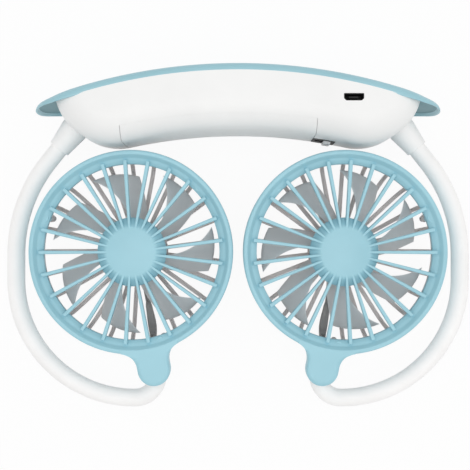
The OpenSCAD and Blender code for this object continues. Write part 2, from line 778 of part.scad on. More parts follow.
module rear_grille(side) color([0.62, 0.62, 0.63]) at_head(side) difference() {
    union() {
        intersection() {
            rotate_extrude($fn = wide) rear_bowl_profile();
            linear_extrude(height = head_h) spoke_star(rear_hub_r / 2, head_d, rear_spoke_w, rear_spoke_w);
        }
        rotate_extrude($fn = wide) rear_rim_profile();
        cylinder(r = rear_hub_r, h = rear_wall, $fn = fine);
        difference() {
            cylinder(r = motor_r + seat_gap + cup_wall, h = rear_wall + cup_h, $fn = fine);
            translate([0, 0, rear_wall]) cylinder(r = motor_r + seat_gap, h = cup_h + over, $fn = fine);
        }
        for (k = screw_turns) rotate([0, 0, 270 + 360 * k / spoke_count])
            translate([column_c, 0, split_z - column_drop]) cylinder(r = column_r, h = column_drop, $fn = fine);
        rear_housing();
    }
    // Bore for the arm's end, and the way in for the leads
    translate([0, -lobe_reach, arm_z]) rotate([-90, 0, 0])
        cylinder(r = ferrule_r + seat_gap, h = lobe_reach - arm_end_r + ferrule_len + seat_gap, $fn = fine);
    lead_bore();
    // Way through the motor cup for the leads, and the screw holes
    translate([-duct_half_w, -(motor_r + 2 * cup_wall), rear_wall])
        cube([2 * duct_half_w, 2 * cup_wall, duct_h]);
    for (k = screw_turns) rotate([0, 0, 270 + 360 * k / spoke_count]) translate([column_c, 0, 0]) {
        translate([0, 0, split_z - column_drop - over])
            cylinder(r = screw_r + seat_gap, h = column_drop + lip_h + 2 * over, $fn = fine);
        translate([0, 0, split_z]) cylinder(r = column_r + seat_gap, h = lip_h + over, $fn = fine);
    }
}

// The lobe's rear half, which clamps the arm's end
module rear_housing() {
    end = arm_end_r - face_gap;
    difference() {
        translate([0, 0, arm_z - housing_drop])
            linear_extrude(height = housing_drop + head_h - arm_z - lobe_t - face_gap) {
                translate([-housing_half_w, -end + housing_round])
                    square([2 * housing_half_w, end - housing_round - head_r + ring_wall]);
                translate([-housing_half_w + housing_round, -end])
                    square([2 * (housing_half_w - housing_round), 2 * housing_round]);
                for (s = [-1, 1]) translate([s * (housing_half_w - housing_round), -end + housing_round])
                    circle(r = housing_round, $fn = fine);
            }
        translate([0, 0, split_z - face_gap]) cylinder(r = head_r + face_gap, h = head_h, $fn = wide);
    }
}

module head_screws(side) color([0.7, 0.7, 0.72]) at_head(side)
    for (k = screw_turns) rotate([0, 0, 270 + 360 * k / spoke_count])
        translate([column_c, 0, split_z - column_drop - face_gap]) {
            translate([0, 0, -screw_head_h]) cylinder(r = screw_head_r, h = screw_head_h, $fn = fine);
            translate([0, 0, -over]) cylinder(r = screw_r - face_gap, h = screw_len + over, $fn = fine);
        }

// Motor, fixed to the rear grille

module motor_can(side) color([0.75, 0.75, 0.77]) at_head(side) translate([0, 0, can_z]) difference() {
    rotate_extrude($fn = fine) polygon([
        [motor_r - can_wall, 0], [motor_r, 0], [motor_r, can_h - cover_edge],
        [motor_r - cover_edge, can_h], [nose_r, can_h], [nose_r, can_h + nose_h],
        [bush_r + face_gap, can_h + nose_h], [bush_r + face_gap, can_h - can_wall],
        [motor_r - can_wall, can_h - can_wall]]);
    translate([-duct_half_w + duct_wall, -motor_r - over, -over])
        cube([2 * (duct_half_w - duct_wall), 3 * can_wall + over, lead_z + lead_r - can_z + over + seat_gap]);
}

module motor_magnets(side) color([0.3, 0.3, 0.32]) at_head(side)
    translate([0, 0, can_z + rotor_margin]) difference() {
        cylinder(r = motor_r - can_wall - face_gap, h = can_h - 2 * rotor_margin, $fn = fine);
        translate([0, 0, -over]) cylinder(r = motor_r - can_wall - magnet_t, h = can_h, $fn = fine);
    }

module motor_cap(side) color([0.2, 0.2, 0.21]) at_head(side) translate([0, 0, can_z - seat_gap]) difference() {
    cylinder(r = motor_r - can_wall - face_gap, h = cap_t, $fn = fine);
    translate([0, 0, -over]) cylinder(r = shaft_r + shaft_gap, h = cap_t + 2 * over, $fn = fine);
    translate([-duct_half_w + duct_wall, -motor_r, -over])
        cube([2 * (duct_half_w - duct_wall), motor_r / 2, cap_t + 2 * over]);
}

module motor_bush(side) color([0.72, 0.58, 0.3]) at_head(side)
    translate([0, 0, can_z + can_h + nose_h - bush_h]) difference() {
        cylinder(r = bush_r, h = bush_h, $fn = fine);
        translate([0, 0, -over]) cylinder(r = shaft_r + shaft_gap, h = bush_h + 2 * over, $fn = fine);
    }

module motor_rotor(side) color([0.7, 0.45, 0.25]) at_head(side)
    translate([0, 0, can_z + rotor_margin]) difference() {
        cylinder(r = rotor_r, h = can_h - 2 * rotor_margin - magnet_gap, $fn = fine);
        translate([0, 0, -over]) cylinder(r = shaft_r + face_gap, h = can_h, $fn = fine);
    }

fan_top_z = head_h - fan_top;
module motor_shaft(side) color([0.8, 0.8, 0.82]) at_head(side) translate([0, 0, can_z + seat_gap])
    cylinder(r = shaft_r, h = fan_top_z - fan_top_t / 2 - can_z - seat_gap, $fn = fine);

module wire_duct(side) color([0.42, 0.42, 0.43]) at_head(side) difference() {
    translate([-duct_half_w, -duct_end, rear_wall + face_gap]) difference() {
        cube([2 * duct_half_w, duct_end - motor_r - seat_gap - cup_wall, duct_h]);
        translate([duct_wall, -over, -over])
            cube([2 * (duct_half_w - duct_wall), duct_end, duct_h - duct_wall + over]);
    }
    // Its underside follows the rear bowl's corner
    rotate_extrude($fn = wide) difference() {
        translate([rear_r - rear_round, 0]) square([rear_round, rear_round]);
        translate([rear_r - rear_round, rear_round]) circle(r = rear_round - rear_wall - face_gap, $fn = fine);
    }
}

module motor_leads(side) color([0.3, 0.3, 0.31]) at_head(side) {
    wall_y = -(column_c - 2 * lead_r);
    rise_z = rear_round - 2 * lead_r;
    for (x = [-lead_x, lead_x])
        wire([[x, -(motor_r - 2 * can_wall), lead_z],
            [x, -duct_end, lead_z],
            [x, wall_y, rise_z],
            [x, wall_y, arm_z - 3 * lead_r],
            [x, wall_y - lead_r, arm_z - lead_r],
            [x, wall_y - 3 * lead_r, arm_z],
            [x, -(arm_end_r - ferrule_len - 2 * face_gap), arm_z]], [1, 0, 0], lead_r, lead_sides);
}

// Impeller: a cup over the motor, a boss on the shaft and swept, pitched blades

// Angle of a blade's edge at a share of its span: the leading edge, then the trailing edge
lead_shares = [-52.6, 27, -7.5];
trail_shares = [-24.6, 14.5, 10.1];
function edge_deg(terms, s) = terms[0] + terms[1] * s + terms[2] * s * s;

function blade_point(s, c, up) =
    let (tip = blade_r - tip_cut * pow(1 - c, 2),
        root = fan_hub_r - blade_sink,
        r = root + (tip - root) * s,
        a = edge_deg(lead_shares, s) * (1 - c) + edge_deg(trail_shares, s) * c,
        rise = root_rise + (tip_rise - root_rise) * s,
        z = blade_low + (root_rise - rise) / 2 + rise * c)
    [r * cos(a), r * sin(a), z + up * blade_t / 2];

module blade() {
    nr = blade_rows;
    nc = blade_cols;
    m = (nr + 1) * (nc + 1);
    function at(i, j, top) = (top ? m : 0) + i * (nc + 1) + j;
    points = concat(
        [for (i = [0:nr]) for (j = [0:nc]) blade_point(i / nr, j / nc, -1)],
        [for (i = [0:nr]) for (j = [0:nc]) blade_point(i / nr, j / nc, 1)]);
    function both(a, b, c, d) = [[a, b, c], [a, c, d]];
    faces = concat(
        [for (i = [0:nr - 1]) for (j = [0:nc - 1])
            each both(at(i, j, false), at(i + 1, j, false), at(i + 1, j + 1, false), at(i, j + 1, false))],
        [for (i = [0:nr - 1]) for (j = [0:nc - 1])
            each both(at(i, j, true), at(i, j + 1, true), at(i + 1, j + 1, true), at(i + 1, j, true))],
        [for (i = [0:nr - 1]) each both(at(i, 0, false), at(i, 0, true), at(i + 1, 0, true), at(i + 1, 0, false))],
        [for (i = [0:nr - 1])
            each both(at(i, nc, false), at(i + 1, nc, false), at(i + 1, nc, true), at(i, nc, true))],
        [for (j = [0:nc - 1]) each both(at(0, j, false), at(0, j + 1, false), at(0, j + 1, true), at(0, j, true))],
        [for (j = [0:nc - 1])
            each both(at(nr, j, false), at(nr, j, true), at(nr, j + 1, true), at(nr, j + 1, false))]);
    polyhedron(points, faces, convexity = 4);
}

module impeller(side) color([0.6, 0.63, 0.65]) at_head(side)
    rotate([0, 0, side * head_lean + fan_phase[side < 0 ? 0 : 1]]) {
        boss_z = can_z + can_h + nose_h + slip_gap;
        rotate_extrude($fn = fine) polygon([
            [shaft_r + face_gap, boss_z], [fan_boss_r, boss_z], [fan_boss_r, fan_top_z - fan_top_t],
            [fan_hub_r - fan_wall, fan_top_z - fan_top_t], [fan_hub_r - fan_wall, fan_skirt_z],
            [fan_hub_r, fan_skirt_z], [fan_hub_r, fan_top_z - fan_chamfer],
            [fan_hub_r - fan_chamfer, fan_top_z], [shaft_r + face_gap, fan_top_z]]);
        for (k = [0:blade_count - 1]) rotate([0, 0, 360 * k / blade_count]) blade();
    }

back_cover();
body_shell();
neck_panel();
arm_collar(-1);  // left_arm_collar
arm_collar(1);  // right_arm_collar
battery_cell();
battery_tabs();
battery_leads();
circuit_board();
board_chips();
board_screws();
usb_socket();
usb_tongue();
switch_plate();
switch_body();
slide_knob();
root_ferrule(-1);  // left_root_ferrule
root_ferrule(1);  // right_root_ferrule
root_flex(-1);  // left_root_flex
root_flex(1);  // right_root_flex
upper_arm(-1);  // left_upper_arm
upper_arm(1);  // right_upper_arm
upper_core(-1);  // left_upper_core
upper_core(1);  // right_upper_core
mid_flex(-1);  // left_mid_flex
mid_flex(1);  // right_mid_flex
lower_arm(-1);  // left_lower_arm
lower_arm(1);  // right_lower_arm
lower_core(-1);  // left_lower_core
lower_core(1);  // right_lower_core
tip_flex(-1);  // left_tip_flex
tip_flex(1);  // right_tip_flex
end_ferrule(-1);  // left_end_ferrule
end_ferrule(1);  // right_end_ferrule
front_grille(-1);  // left_front_grille
front_grille(1);  // right_front_grille
rear_grille(-1);  // left_rear_grille
rear_grille(1);  // right_rear_grille
wire_duct(-1);  // left_wire_duct
wire_duct(1);  // right_wire_duct
motor_leads(-1);  // left_motor_leads
motor_leads(1);  // right_motor_leads
head_screws(-1);  // left_head_screws
head_screws(1);  // right_head_screws
motor_can(-1);  // left_motor_can
motor_can(1);  // right_motor_can
motor_magnets(-1);  // left_motor_magnets
motor_magnets(1);  // right_motor_magnets
motor_cap(-1);  // left_motor_cap
motor_cap(1);  // right_motor_cap
motor_bush(-1);  // left_motor_bush
motor_bush(1);  // right_motor_bush
motor_rotor(-1);  // left_motor_rotor
motor_rotor(1);  // right_motor_rotor
motor_shaft(-1);  // left_motor_shaft
motor_shaft(1);  // right_motor_shaft
impeller(-1);  // left_impeller
impeller(1);  // right_impeller
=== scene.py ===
# %% [markdown]
# # A folded electric neck fan
# The fan lies flat on a white table, seen from straight above. Its parts come packed from the
# CAD model as a fixed frame, so every new piece is put where a real part already sits. Numbers
# below are millimetres in that frame: X across, Y from the heads to the back cover, Z up.

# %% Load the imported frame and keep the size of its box
import json
import math

import bmesh
import bpy
import numpy as np
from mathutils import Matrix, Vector


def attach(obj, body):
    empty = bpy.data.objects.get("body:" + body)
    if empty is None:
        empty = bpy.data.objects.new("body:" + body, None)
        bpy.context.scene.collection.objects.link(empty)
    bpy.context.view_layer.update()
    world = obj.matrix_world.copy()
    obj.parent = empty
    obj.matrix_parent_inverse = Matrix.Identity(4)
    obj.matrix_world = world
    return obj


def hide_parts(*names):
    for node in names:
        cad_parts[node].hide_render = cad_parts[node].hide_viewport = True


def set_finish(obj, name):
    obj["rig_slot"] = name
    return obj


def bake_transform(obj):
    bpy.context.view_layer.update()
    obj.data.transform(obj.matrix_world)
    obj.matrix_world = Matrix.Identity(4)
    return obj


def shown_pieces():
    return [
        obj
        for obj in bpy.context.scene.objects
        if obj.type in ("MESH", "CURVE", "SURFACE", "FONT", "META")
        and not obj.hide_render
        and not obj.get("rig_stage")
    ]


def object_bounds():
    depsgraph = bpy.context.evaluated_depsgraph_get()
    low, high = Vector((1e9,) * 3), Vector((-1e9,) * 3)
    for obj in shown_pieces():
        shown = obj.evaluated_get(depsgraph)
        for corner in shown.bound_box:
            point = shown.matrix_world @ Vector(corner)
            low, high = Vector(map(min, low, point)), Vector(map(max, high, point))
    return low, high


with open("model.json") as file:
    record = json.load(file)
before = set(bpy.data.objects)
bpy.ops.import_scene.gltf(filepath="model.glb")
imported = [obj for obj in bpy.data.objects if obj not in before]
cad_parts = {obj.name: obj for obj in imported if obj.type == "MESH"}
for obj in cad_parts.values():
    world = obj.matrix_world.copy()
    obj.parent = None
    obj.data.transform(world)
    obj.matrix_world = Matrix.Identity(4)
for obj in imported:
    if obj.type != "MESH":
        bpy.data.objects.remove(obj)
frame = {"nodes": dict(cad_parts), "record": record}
cad_low, cad_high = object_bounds()
MM = 0.001
print("CAD box in mm:", [round(v / MM, 1) for v in (*cad_low, *cad_high)])

# %% [markdown]
# The camera hangs straight above the table, because the photograph shows no side of the heads
# and both arms equally. Nearer parts look larger in the photograph, and that growth from table
# to casing top gives a camera height of 364 mm. The field of view follows from how many
# millimetres of table one pixel covers.

# %% Camera
CAMERA_HEIGHT, HEAD_H = 364.0, 30.0
PIXELS, SENSOR, HEAD_MM_PER_PIXEL = 470, 36.0, 0.42
TABLE_MM_PER_PIXEL = HEAD_MM_PER_PIXEL * CAMERA_HEIGHT / (CAMERA_HEIGHT - HEAD_H)
camera_data = bpy.data.cameras.new("overhead_camera")
camera_data.sensor_width = SENSOR
camera_data.lens = SENSOR * CAMERA_HEIGHT / (PIXELS * TABLE_MM_PER_PIXEL)
camera_data.clip_start, camera_data.clip_end = 0.01, 10.0
camera = bpy.data.objects.new("overhead_camera", camera_data)
camera.location = (-1.3 * MM, 2.05 * MM, CAMERA_HEIGHT * MM)
bpy.context.scene.collection.objects.link(camera)
bpy.context.scene.camera = camera
print("lens in mm:", round(camera_data.lens, 2))

# %% [markdown]
# Every moulded part here is a surface that can be written as a formula of two numbers: how far
# along it you are and how far round it. Numpy works out such a grid in one go, and this helper
# turns grids into a mesh. Points that fall together, such as a pole, are merged afterwards, and
# the faces are turned outwards.

# %% Grids into meshes
SHARP = 38


def grid_faces(rows, cols, wrap_rows, wrap_cols):
    """Quad (i, j) joins points (i, j), (i+1, j), (i+1, j+1) and (i, j+1), modulo the grid's size."""
    i, j = np.meshgrid(
        np.arange(rows if wrap_rows else rows - 1),
        np.arange(cols if wrap_cols else cols - 1),
        indexing="ij",
    )
    corners = [(i, j), (i + 1, j), (i + 1, j + 1), (i, j + 1)]
    return np.stack([(a % rows) * cols + b % cols for a, b in corners], -1).reshape(-1, 4)


def moulded(name, sheets, body, replaces=(), slot=None, sharp=SHARP):
    """One object from several grids. Each sheet is (points in mm [rows, cols, 3], wrap_rows, wrap_cols)."""
    points, faces, start = [], [], 0
    for grid, wrap_rows, wrap_cols in sheets:
        rows, cols = grid.shape[:2]
        points.append(grid.reshape(-1, 3) * MM)
        faces.append(grid_faces(rows, cols, wrap_rows, wrap_cols) + start)
        start += rows * cols
    mesh = bpy.data.meshes.new(name)
    mesh.from_pydata(np.concatenate(points).tolist(), [], np.concatenate(faces).tolist())
    finish_mesh(mesh, sharp)
    piece = bpy.data.objects.new(name, mesh)
    bpy.context.scene.collection.objects.link(piece)
    if body:
        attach(piece, body)
    if replaces:
        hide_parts(*replaces)
    if slot:
        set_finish(piece, slot)
    return piece


def finish_mesh(mesh, sharp):
    """Merges points closer than 2 microns, turns faces outwards, shades edges under sharp degrees smooth."""
    work = bmesh.new()
    work.from_mesh(mesh)
    bmesh.ops.remove_doubles(work, verts=work.verts, dist=2e-6)
    bmesh.ops.dissolve_degenerate(work, edges=work.edges, dist=1e-7)
    bmesh.ops.recalc_face_normals(work, faces=work.faces)
    work.to_mesh(mesh)
    work.free()
    mesh.shade_smooth()
    mesh.set_sharp_from_angle(angle=math.radians(sharp))


def soften(corners, reach, steps=5, closed=True):
    """Each corner C becomes a curve from A to B, both `reach` away from it along its two edges:
    (1-s)^2 A + 2s(1-s) C + s^2 B for s from 0 to 1. The reach is kept under half an edge."""
    c = np.asarray(corners, float)
    reach = np.broadcast_to(np.asarray(reach, float), len(c))[:, None]
    back, ahead = np.roll(c, 1, 0) - c, np.roll(c, -1, 0) - c
    back_len = np.linalg.norm(back, axis=1, keepdims=True)
    ahead_len = np.linalg.norm(ahead, axis=1, keepdims=True)
    a = c + back / back_len * np.minimum(reach, 0.48 * back_len)
    b = c + ahead / ahead_len * np.minimum(reach, 0.48 * ahead_len)
    s = np.linspace(0, 1, steps)[None, :, None]
    curve = (1 - s) ** 2 * a[:, None] + 2 * s * (1 - s) * c[:, None] + s**2 * b[:, None]
    if not closed:
        curve[0], curve[-1] = c[0], c[-1]
    return curve.reshape(-1, c.shape[1])


def turned(profile, steps, centre=(0.0, 0.0)):
    """A profile of (radius, height) turned round a vertical axis: centre + r (cos a, sin a), height."""
    a = np.radians(np.arange(steps) * 360 / steps)[:, None]
    r, z = profile[None, :, 0], profile[None, :, 1]
    return np.stack([centre[0] + r * np.cos(a), centre[1] + r * np.sin(a), z + 0 * a], -1)


def swept(path, across, up, section):
    """A section of (sideways, upwards) pairs carried along a path: P = path + s across + u up.
    The last rows shrink to the path, which closes both ends."""
    s, u = section[..., 0], section[..., 1]
    if section.ndim == 2:
        s, u = np.broadcast_to(s, (len(path), len(s))), np.broadcast_to(u, (len(path), len(u)))
    grid = path[:, None] + s[..., None] * across[:, None] + u[..., None] * up[:, None]
    first = np.broadcast_to(grid[0].mean(0), grid[:1].shape)
    last = np.broadcast_to(grid[-1].mean(0), grid[-1:].shape)
    return np.concatenate([first, grid, last])


print("grid helpers ready")

# %% [markdown]
# The back cover is a plate curved like the neck, with ends a little fuller than half circles in
# elevation. A lip runs round its inner side, and shows where the two ends stand free of the body.
# The outline is an oval. Each ring of the surface is that oval moved inwards by some distance, at
# some depth in the plate, so the whole plate is one grid.

# %% Back cover
OUT_Y = cad_high.y / MM
CASING_H = 41.0
MID_Z = CASING_H / 2
COVER_R, COVER_T, COVER_HALF = 227.0, 2.0, 86.4
INNER_R = COVER_R - COVER_T
RIM_STEP, TIP_LIFT, PLATE_IN = 1.3, 1.0, 0.7
EDGE_WIDE, EDGE_DEEP, FULLNESS = 3.6, 2.2, 0.87


def cover_inside_y(x, lift=0.0):
    """Y of the cover's inner face: Y0 + sqrt((R + lift)^2 - x^2), about the curve's centre."""
    return OUT_Y - COVER_R + np.sqrt((INNER_R + lift) ** 2 - x**2)


def ease(low, high, value):
    """0 below low, 1 above high, 3t^2 - 2t^3 between."""
    t = np.clip((value - low) / (high - low), 0, 1)
    return t * t * (3 - 2 * t)


def rim_lift(x):
    """The rim stands 1.3 mm further in beside the body than at the cover's free ends."""
    return RIM_STEP * (ease(66, 84, np.abs(x)) - 1)


def tip_lift(x):
    """The free ends flare out by 1 mm."""
    return TIP_LIFT * ease(76, 86, np.abs(x))


def cover_grid():
    """Oval: centre c(s) plus (R - d)(cos f, sin f)^0.87; depth w from the rings below; y from the curve.
    The outer edge is a quarter turn: d = 3.6 (1 - sin a), w = 2 - 2.2 (1 - cos a). The third number
    of a ring is its share of the lip's further step beside the body."""
    end = COVER_HALF - MID_Z
    arc = np.radians(np.linspace(-90, 90, 33))
    run = np.linspace(end, -end, 81)[1:-1]
    top, bottom = np.full(len(run), np.pi / 2), np.full(len(run), -np.pi / 2)
    f = np.concatenate([arc, top, arc + np.pi, bottom])
    c = np.concatenate([np.full(len(arc), end), run, np.full(len(arc), -end), -run])
    turn = np.radians(np.arange(0, 91, 10))
    fall = 1 - np.cos(turn)
    edge = np.stack([EDGE_WIDE - EDGE_WIDE * np.sin(turn), COVER_T - EDGE_DEEP * fall, fall], -1)
    outer = [(d, COVER_T, 0) for d in (MID_Z, 16, 11, 7, 5)]
    lip = [(0.12, -0.42, 1), (0.4, -0.5, 1), (0.75, -0.42, 1), (0.95, -0.2, 1), (1.15, 0.15, 0.8),
           (1.45, 0.5, 0.3), (1.9, 0.67, 0)]
    inner = [(d, PLATE_IN, 0) for d in (2.6, 4, 8, 13, MID_Z)]
    d, w, share = np.concatenate([outer, edge, lip, inner]).T
    way = np.stack([np.cos(f), np.sin(f)])
    way = np.sign(way) * np.abs(way) ** FULLNESS
    x = c[:, None] + (MID_Z - d) * way[0][:, None]
    z = MID_Z + (MID_Z - d) * way[1][:, None]
    return np.stack([x, cover_inside_y(x, w[None] + share[None] * rim_lift(x) + tip_lift(x)), z], -1)


cover = moulded("cover_plate", [(cover_grid(), True, False)], "casing", ["back_cover"], "cover_blue")
print("cover faces:", len(cover.data.polygons))

# %% [markdown]
# The white body is one smooth pod. In plan its front is the neck's curve, and a round end of
# radius 24 mm joins it at each side without a kink. Its upper and lower edges are rounded over
# 12.5 mm in plan and 10 mm in height. So each section is worked out from the height alone: the
# rounding says how far the wall has come in there, and the plan says where that line lies.

# %% Body form
NECK_R, DEPTH, CORNER_X, CORNER_R, ROUND, RISE = 225.0, 24.6, 53.0, 24.0, 12.5, 10.0
NECK_CY = OUT_Y - COVER_T - DEPTH - NECK_R
CORNER_Y = NECK_CY + math.sqrt((NECK_R + CORNER_R) ** 2 - CORNER_X**2)
PANEL_X, PANEL_T, RECESS = (-48.5, 32.4), 1.0, 1.05


def body_back(x):
    """The body meets the cover's lip, and near its own ends goes 0.72 mm deeper, into the cover's hollow."""
    deeper = ease(71.5, 73.5, np.abs(x))
    return cover_inside_y(x, 0.03 + 0.72 * deeper + (1 - deeper) * rim_lift(x))


def end_of_body():
    """The x at which the cover's face is as far from the round end's centre as its radius."""
    x = np.linspace(70, 77, 7001)
    reach = np.hypot(x - CORNER_X, CORNER_Y - body_back(x))
    return x[np.argmin(np.abs(reach - CORNER_R))]


NOSE_X = end_of_body()


def body_grid(stations, inset, around):
    """Section at x, moved in by inset. around runs 0..1 over the flat top, 1..2 over the rounded edge
    (an angle q from its least value to 90 degrees), 2..3 down half the wall; the lower half mirrors it.
    At angle q the wall stands (R - 12.5) + (12.5 - inset) sin q from its centre, at the height
    10.5 + (10 - inset) cos q above the middle."""
    x, t = stations[:, None], around[None]
    ax = np.abs(x)
    back = body_back(x)
    reach = np.hypot(ax - CORNER_X, CORNER_Y - back)
    sine = np.clip((reach - (CORNER_R - ROUND)) / ROUND, 0, 1)
    least = np.where(ax > CORNER_X, np.arcsin(sine), 0.0)
    q = least + (np.pi / 2 - least) * np.clip(t - 1, 0, 1)
    inward = (ROUND - inset) * np.sin(q)
    neck = NECK_R + ROUND - inward
    end = CORNER_R - ROUND + inward
    neck_y = NECK_CY + np.sqrt(neck**2 - x**2)
    end_y = CORNER_Y - np.sqrt(np.maximum(end**2 - (ax - CORNER_X) ** 2, 0))
    wall = np.where(ax > CORNER_X * neck / (NECK_R + CORNER_R), end_y, neck_y)
    y = np.minimum(back + (wall - back) * np.clip(t, 0, 1), back)
    z = MID_Z - RISE + (RISE - inset) * np.cos(q)
    z = z * (1 - np.clip(t - 2, 0, 1))
    upper = np.stack([x + 0 * t, y, MID_Z + z], -1)
    lower = np.stack([x + 0 * t, y, MID_Z - z], -1)[:, ::-1][:, 1:]
    return np.concatenate([upper, lower], 1)


SEAM, PANEL_STATIONS = 0.1, np.linspace(-46, 30, 22)
nose = NOSE_X * np.sin(np.radians(np.linspace(0, 90, 40)))
plain = np.concatenate([-nose[::-1], nose[1:]])
steps = [PANEL_X[0] - SEAM, PANEL_X[0] - SEAM + 0.01, PANEL_X[1] + SEAM - 0.01, PANEL_X[1] + SEAM]
clear = np.min(np.abs(plain[:, None] - np.array(steps)), 1) > 0.6
stations = np.unique(np.concatenate([plain[clear], steps, PANEL_STATIONS]))
print("body stations:", len(stations), "nose at x", round(NOSE_X, 2))

# %% [markdown]
# The neck wall has a panel, and the photograph shows its two upright seams. The body is one grid,
# so a recess for the panel needs no cutting: the points inside the panel's field are taken from
# the same surface 1.05 mm further in, and the step between them is the recess's edge.

# %% Body with the panel's recess
EDGE_T = 1 + 33 / 90
around = np.unique(np.concatenate([
    np.linspace(0, 1, 9), np.linspace(1, EDGE_T - 0.03, 7), [EDGE_T - 0.016, EDGE_T - 0.015],
    np.linspace(EDGE_T, 2, 12), np.linspace(2, 3, 7)]))


def recessed_body():
    """The body's grid, with points inside the panel's field moved in by 1.05 mm."""
    outer = body_grid(stations, 0.0, around)
    inner = body_grid(stations, RECESS, around)
    whole = np.concatenate([around, around[::-1][1:]])
    in_x = (stations > PANEL_X[0] - SEAM + 0.005) & (stations < PANEL_X[1] + SEAM - 0.005)
    in_t = whole > EDGE_T - 0.0155
    field = (in_x[:, None] & in_t[None])[..., None]
    return np.where(field, inner, outer)


body_sheets = [(recessed_body(), False, True)]
body_piece = moulded("body_pod", body_sheets, "casing", ["body_shell"], "body_white")
print("body faces:", len(body_piece.data.polygons))

# %% [markdown]
# The socket and the switch need openings with sharp corners in that soft skin. Cutting them as a
# solid from a solid is quicker and cleaner than bending the grid round them, so two cutters are
# made, used once and thrown away.

# %% Socket opening and switch slot
PORT_X, PORT_Y, PORT_W, PORT_H = 47.1, OUT_Y - 14.4, 8.24, 3.04
SWITCH_TURN = -math.asin(37.3 / NECK_R)


def prism(outline, direction, reach):
    """An outline of points carried from start to start + reach * direction: P = start + t * direction."""
    outline = np.asarray(outline, float)
    ends = np.stack([outline, outline + reach * np.asarray(direction, float)])
    centre = ends.mean(1, keepdims=True)
    return np.concatenate([np.broadcast_to(centre[:1], ends[:1].shape), ends,
                           np.broadcast_to(centre[1:], ends[:1].shape)])


def at_switch(x, depth, z):
    """A point on the neck wall beside the switch, x along the wall and depth into the body."""
    c, s = math.cos(SWITCH_TURN), math.sin(SWITCH_TURN)
    return [x * c - (NECK_R + depth) * s, NECK_CY + x * s + (NECK_R + depth) * c, z]


def cut(piece, cutters):
    """Takes closed solids out of a piece once, and keeps the cut mesh as the piece's own."""
    for grid in cutters:
        tool = moulded("cutter", [(grid, False, True)], "casing")
        change = piece.modifiers.new("opening", "BOOLEAN")
        change.operation, change.solver, change.object = "DIFFERENCE", "EXACT", tool
        seen = piece.evaluated_get(bpy.context.evaluated_depsgraph_get())
        mesh = bpy.data.meshes.new_from_object(seen)
        piece.modifiers.clear()
        piece.data = mesh
        bpy.data.objects.remove(tool)
    piece.data.shade_smooth()
    piece.data.set_sharp_from_angle(angle=math.radians(SHARP))


wide, high, notch = PORT_W / 2, PORT_H / 2, PORT_H * 0.3
port = soften([(-wide, high), (wide, high), (wide, notch - high), (wide - notch, -high),
               (notch - wide, -high), (-wide, notch - high)], 0.35, 4)
port_tool = prism([(PORT_X + x, PORT_Y + y, CASING_H + 1) for x, y in port], (0, 0, -1), 8)
slot_edge = soften([(-4.9, 8.4), (4.9, 8.4), (4.9, 22.6), (-4.9, 22.6)], 0.6, 4)
inward = [-math.sin(SWITCH_TURN), math.cos(SWITCH_TURN), 0]
switch_tool = prism([at_switch(x, -1.5, z) for x, z in slot_edge], inward, 8)
cut(body_piece, [port_tool, switch_tool])
print("body faces after cutting:", len(body_piece.data.polygons))

# %% [markdown]
# The panel in the neck wall follows the body's own surface. Its grid is the same function over a
# smaller range, with the outer skin dropping at the two ends, so a hair-thin seam shows there.

# %% Neck panel
def panel_grid():
    """Along the skin, dropped by a share of 1 mm at the ends, and back at inset 1; the ends fold together."""
    edge = np.array([0, 0, 0.08, 0.25])
    t = np.concatenate([np.linspace(EDGE_T - 0.0147, EDGE_T + 0.05, 4), np.linspace(EDGE_T + 0.1, 2, 12),
                        np.linspace(2, 3, 7)[1:]])
    x = np.concatenate([PANEL_X[0] + edge, PANEL_STATIONS, PANEL_X[1] - edge[::-1]])
    drop = np.zeros(len(x))
    drop[[1, -2]], drop[[2, -3]] = 0.3, 0.08
    outer = body_grid(x, 0.0, t)
    inner = body_grid(x, PANEL_T, t)
    skin = outer + (inner - outer) * drop[:, None, None]
    loop = np.concatenate([skin, inner[:, ::-1]], 1)
    middle = (outer + inner) / 2
    fold = np.concatenate([middle, middle[:, ::-1]], 1)
    loop[0], loop[-1] = fold[0], fold[-1]
    return loop


panel = moulded("neck_panel_skin", [(panel_grid(), False, True)], "casing", ["neck_panel"], "body_white")
print("panel faces:", len(panel.data.polygons))

# %% [markdown]
# An arm is a soft silicone sleeve over a wound wire core that keeps whatever curve it is bent to.
# Its middle line is a straight out of the collar, a wide arc past the head, a tighter arc under
# it and a hook into the lobe. A round section carried along that line makes every stretch. The
# stretches that cross a joint are attached to no body.

# %% Arm line
ARM_Z, TUBE_R = 17.0, 3.8
ARM_DIR = math.radians(231.5)
OUTWARD = np.array([math.cos(ARM_DIR), math.sin(ARM_DIR)])
SEAT = np.array([-CORNER_X + CORNER_R * math.cos(math.radians(221.4)),
                 CORNER_Y + CORNER_R * math.sin(math.radians(221.4))])
ROOT_END = SEAT + 18.6 * OUTWARD
ARM_X = -96.7
UPPER_R = (ROOT_END[0] - ARM_X) / (1 + math.sin(ARM_DIR))
UPPER_C = ROOT_END + UPPER_R * np.array([-math.sin(ARM_DIR), math.cos(ARM_DIR)])
HEAD_X, HEAD_Y, HEAD_R, LEAN = 45.2, OUT_Y - 77.8, 43.1, 11.0
LOBE_DIR = np.array([math.sin(math.radians(LEAN)), -math.cos(math.radians(LEAN))])
ARM_END = np.array([-HEAD_X, HEAD_Y]) + 53.0 * LOBE_DIR
HOOK_R = 9.8
HOOK_C = ARM_END - HOOK_R * np.array([math.cos(math.radians(LEAN)), math.sin(math.radians(LEAN))])
LOWER_R = min(HOOK_C[0] - 0.6 - ARM_X, UPPER_C[1] - 8 - HOOK_C[1] + HOOK_R)
LOWER_C = np.array([ARM_X + LOWER_R, HOOK_C[1] - HOOK_R + LOWER_R])


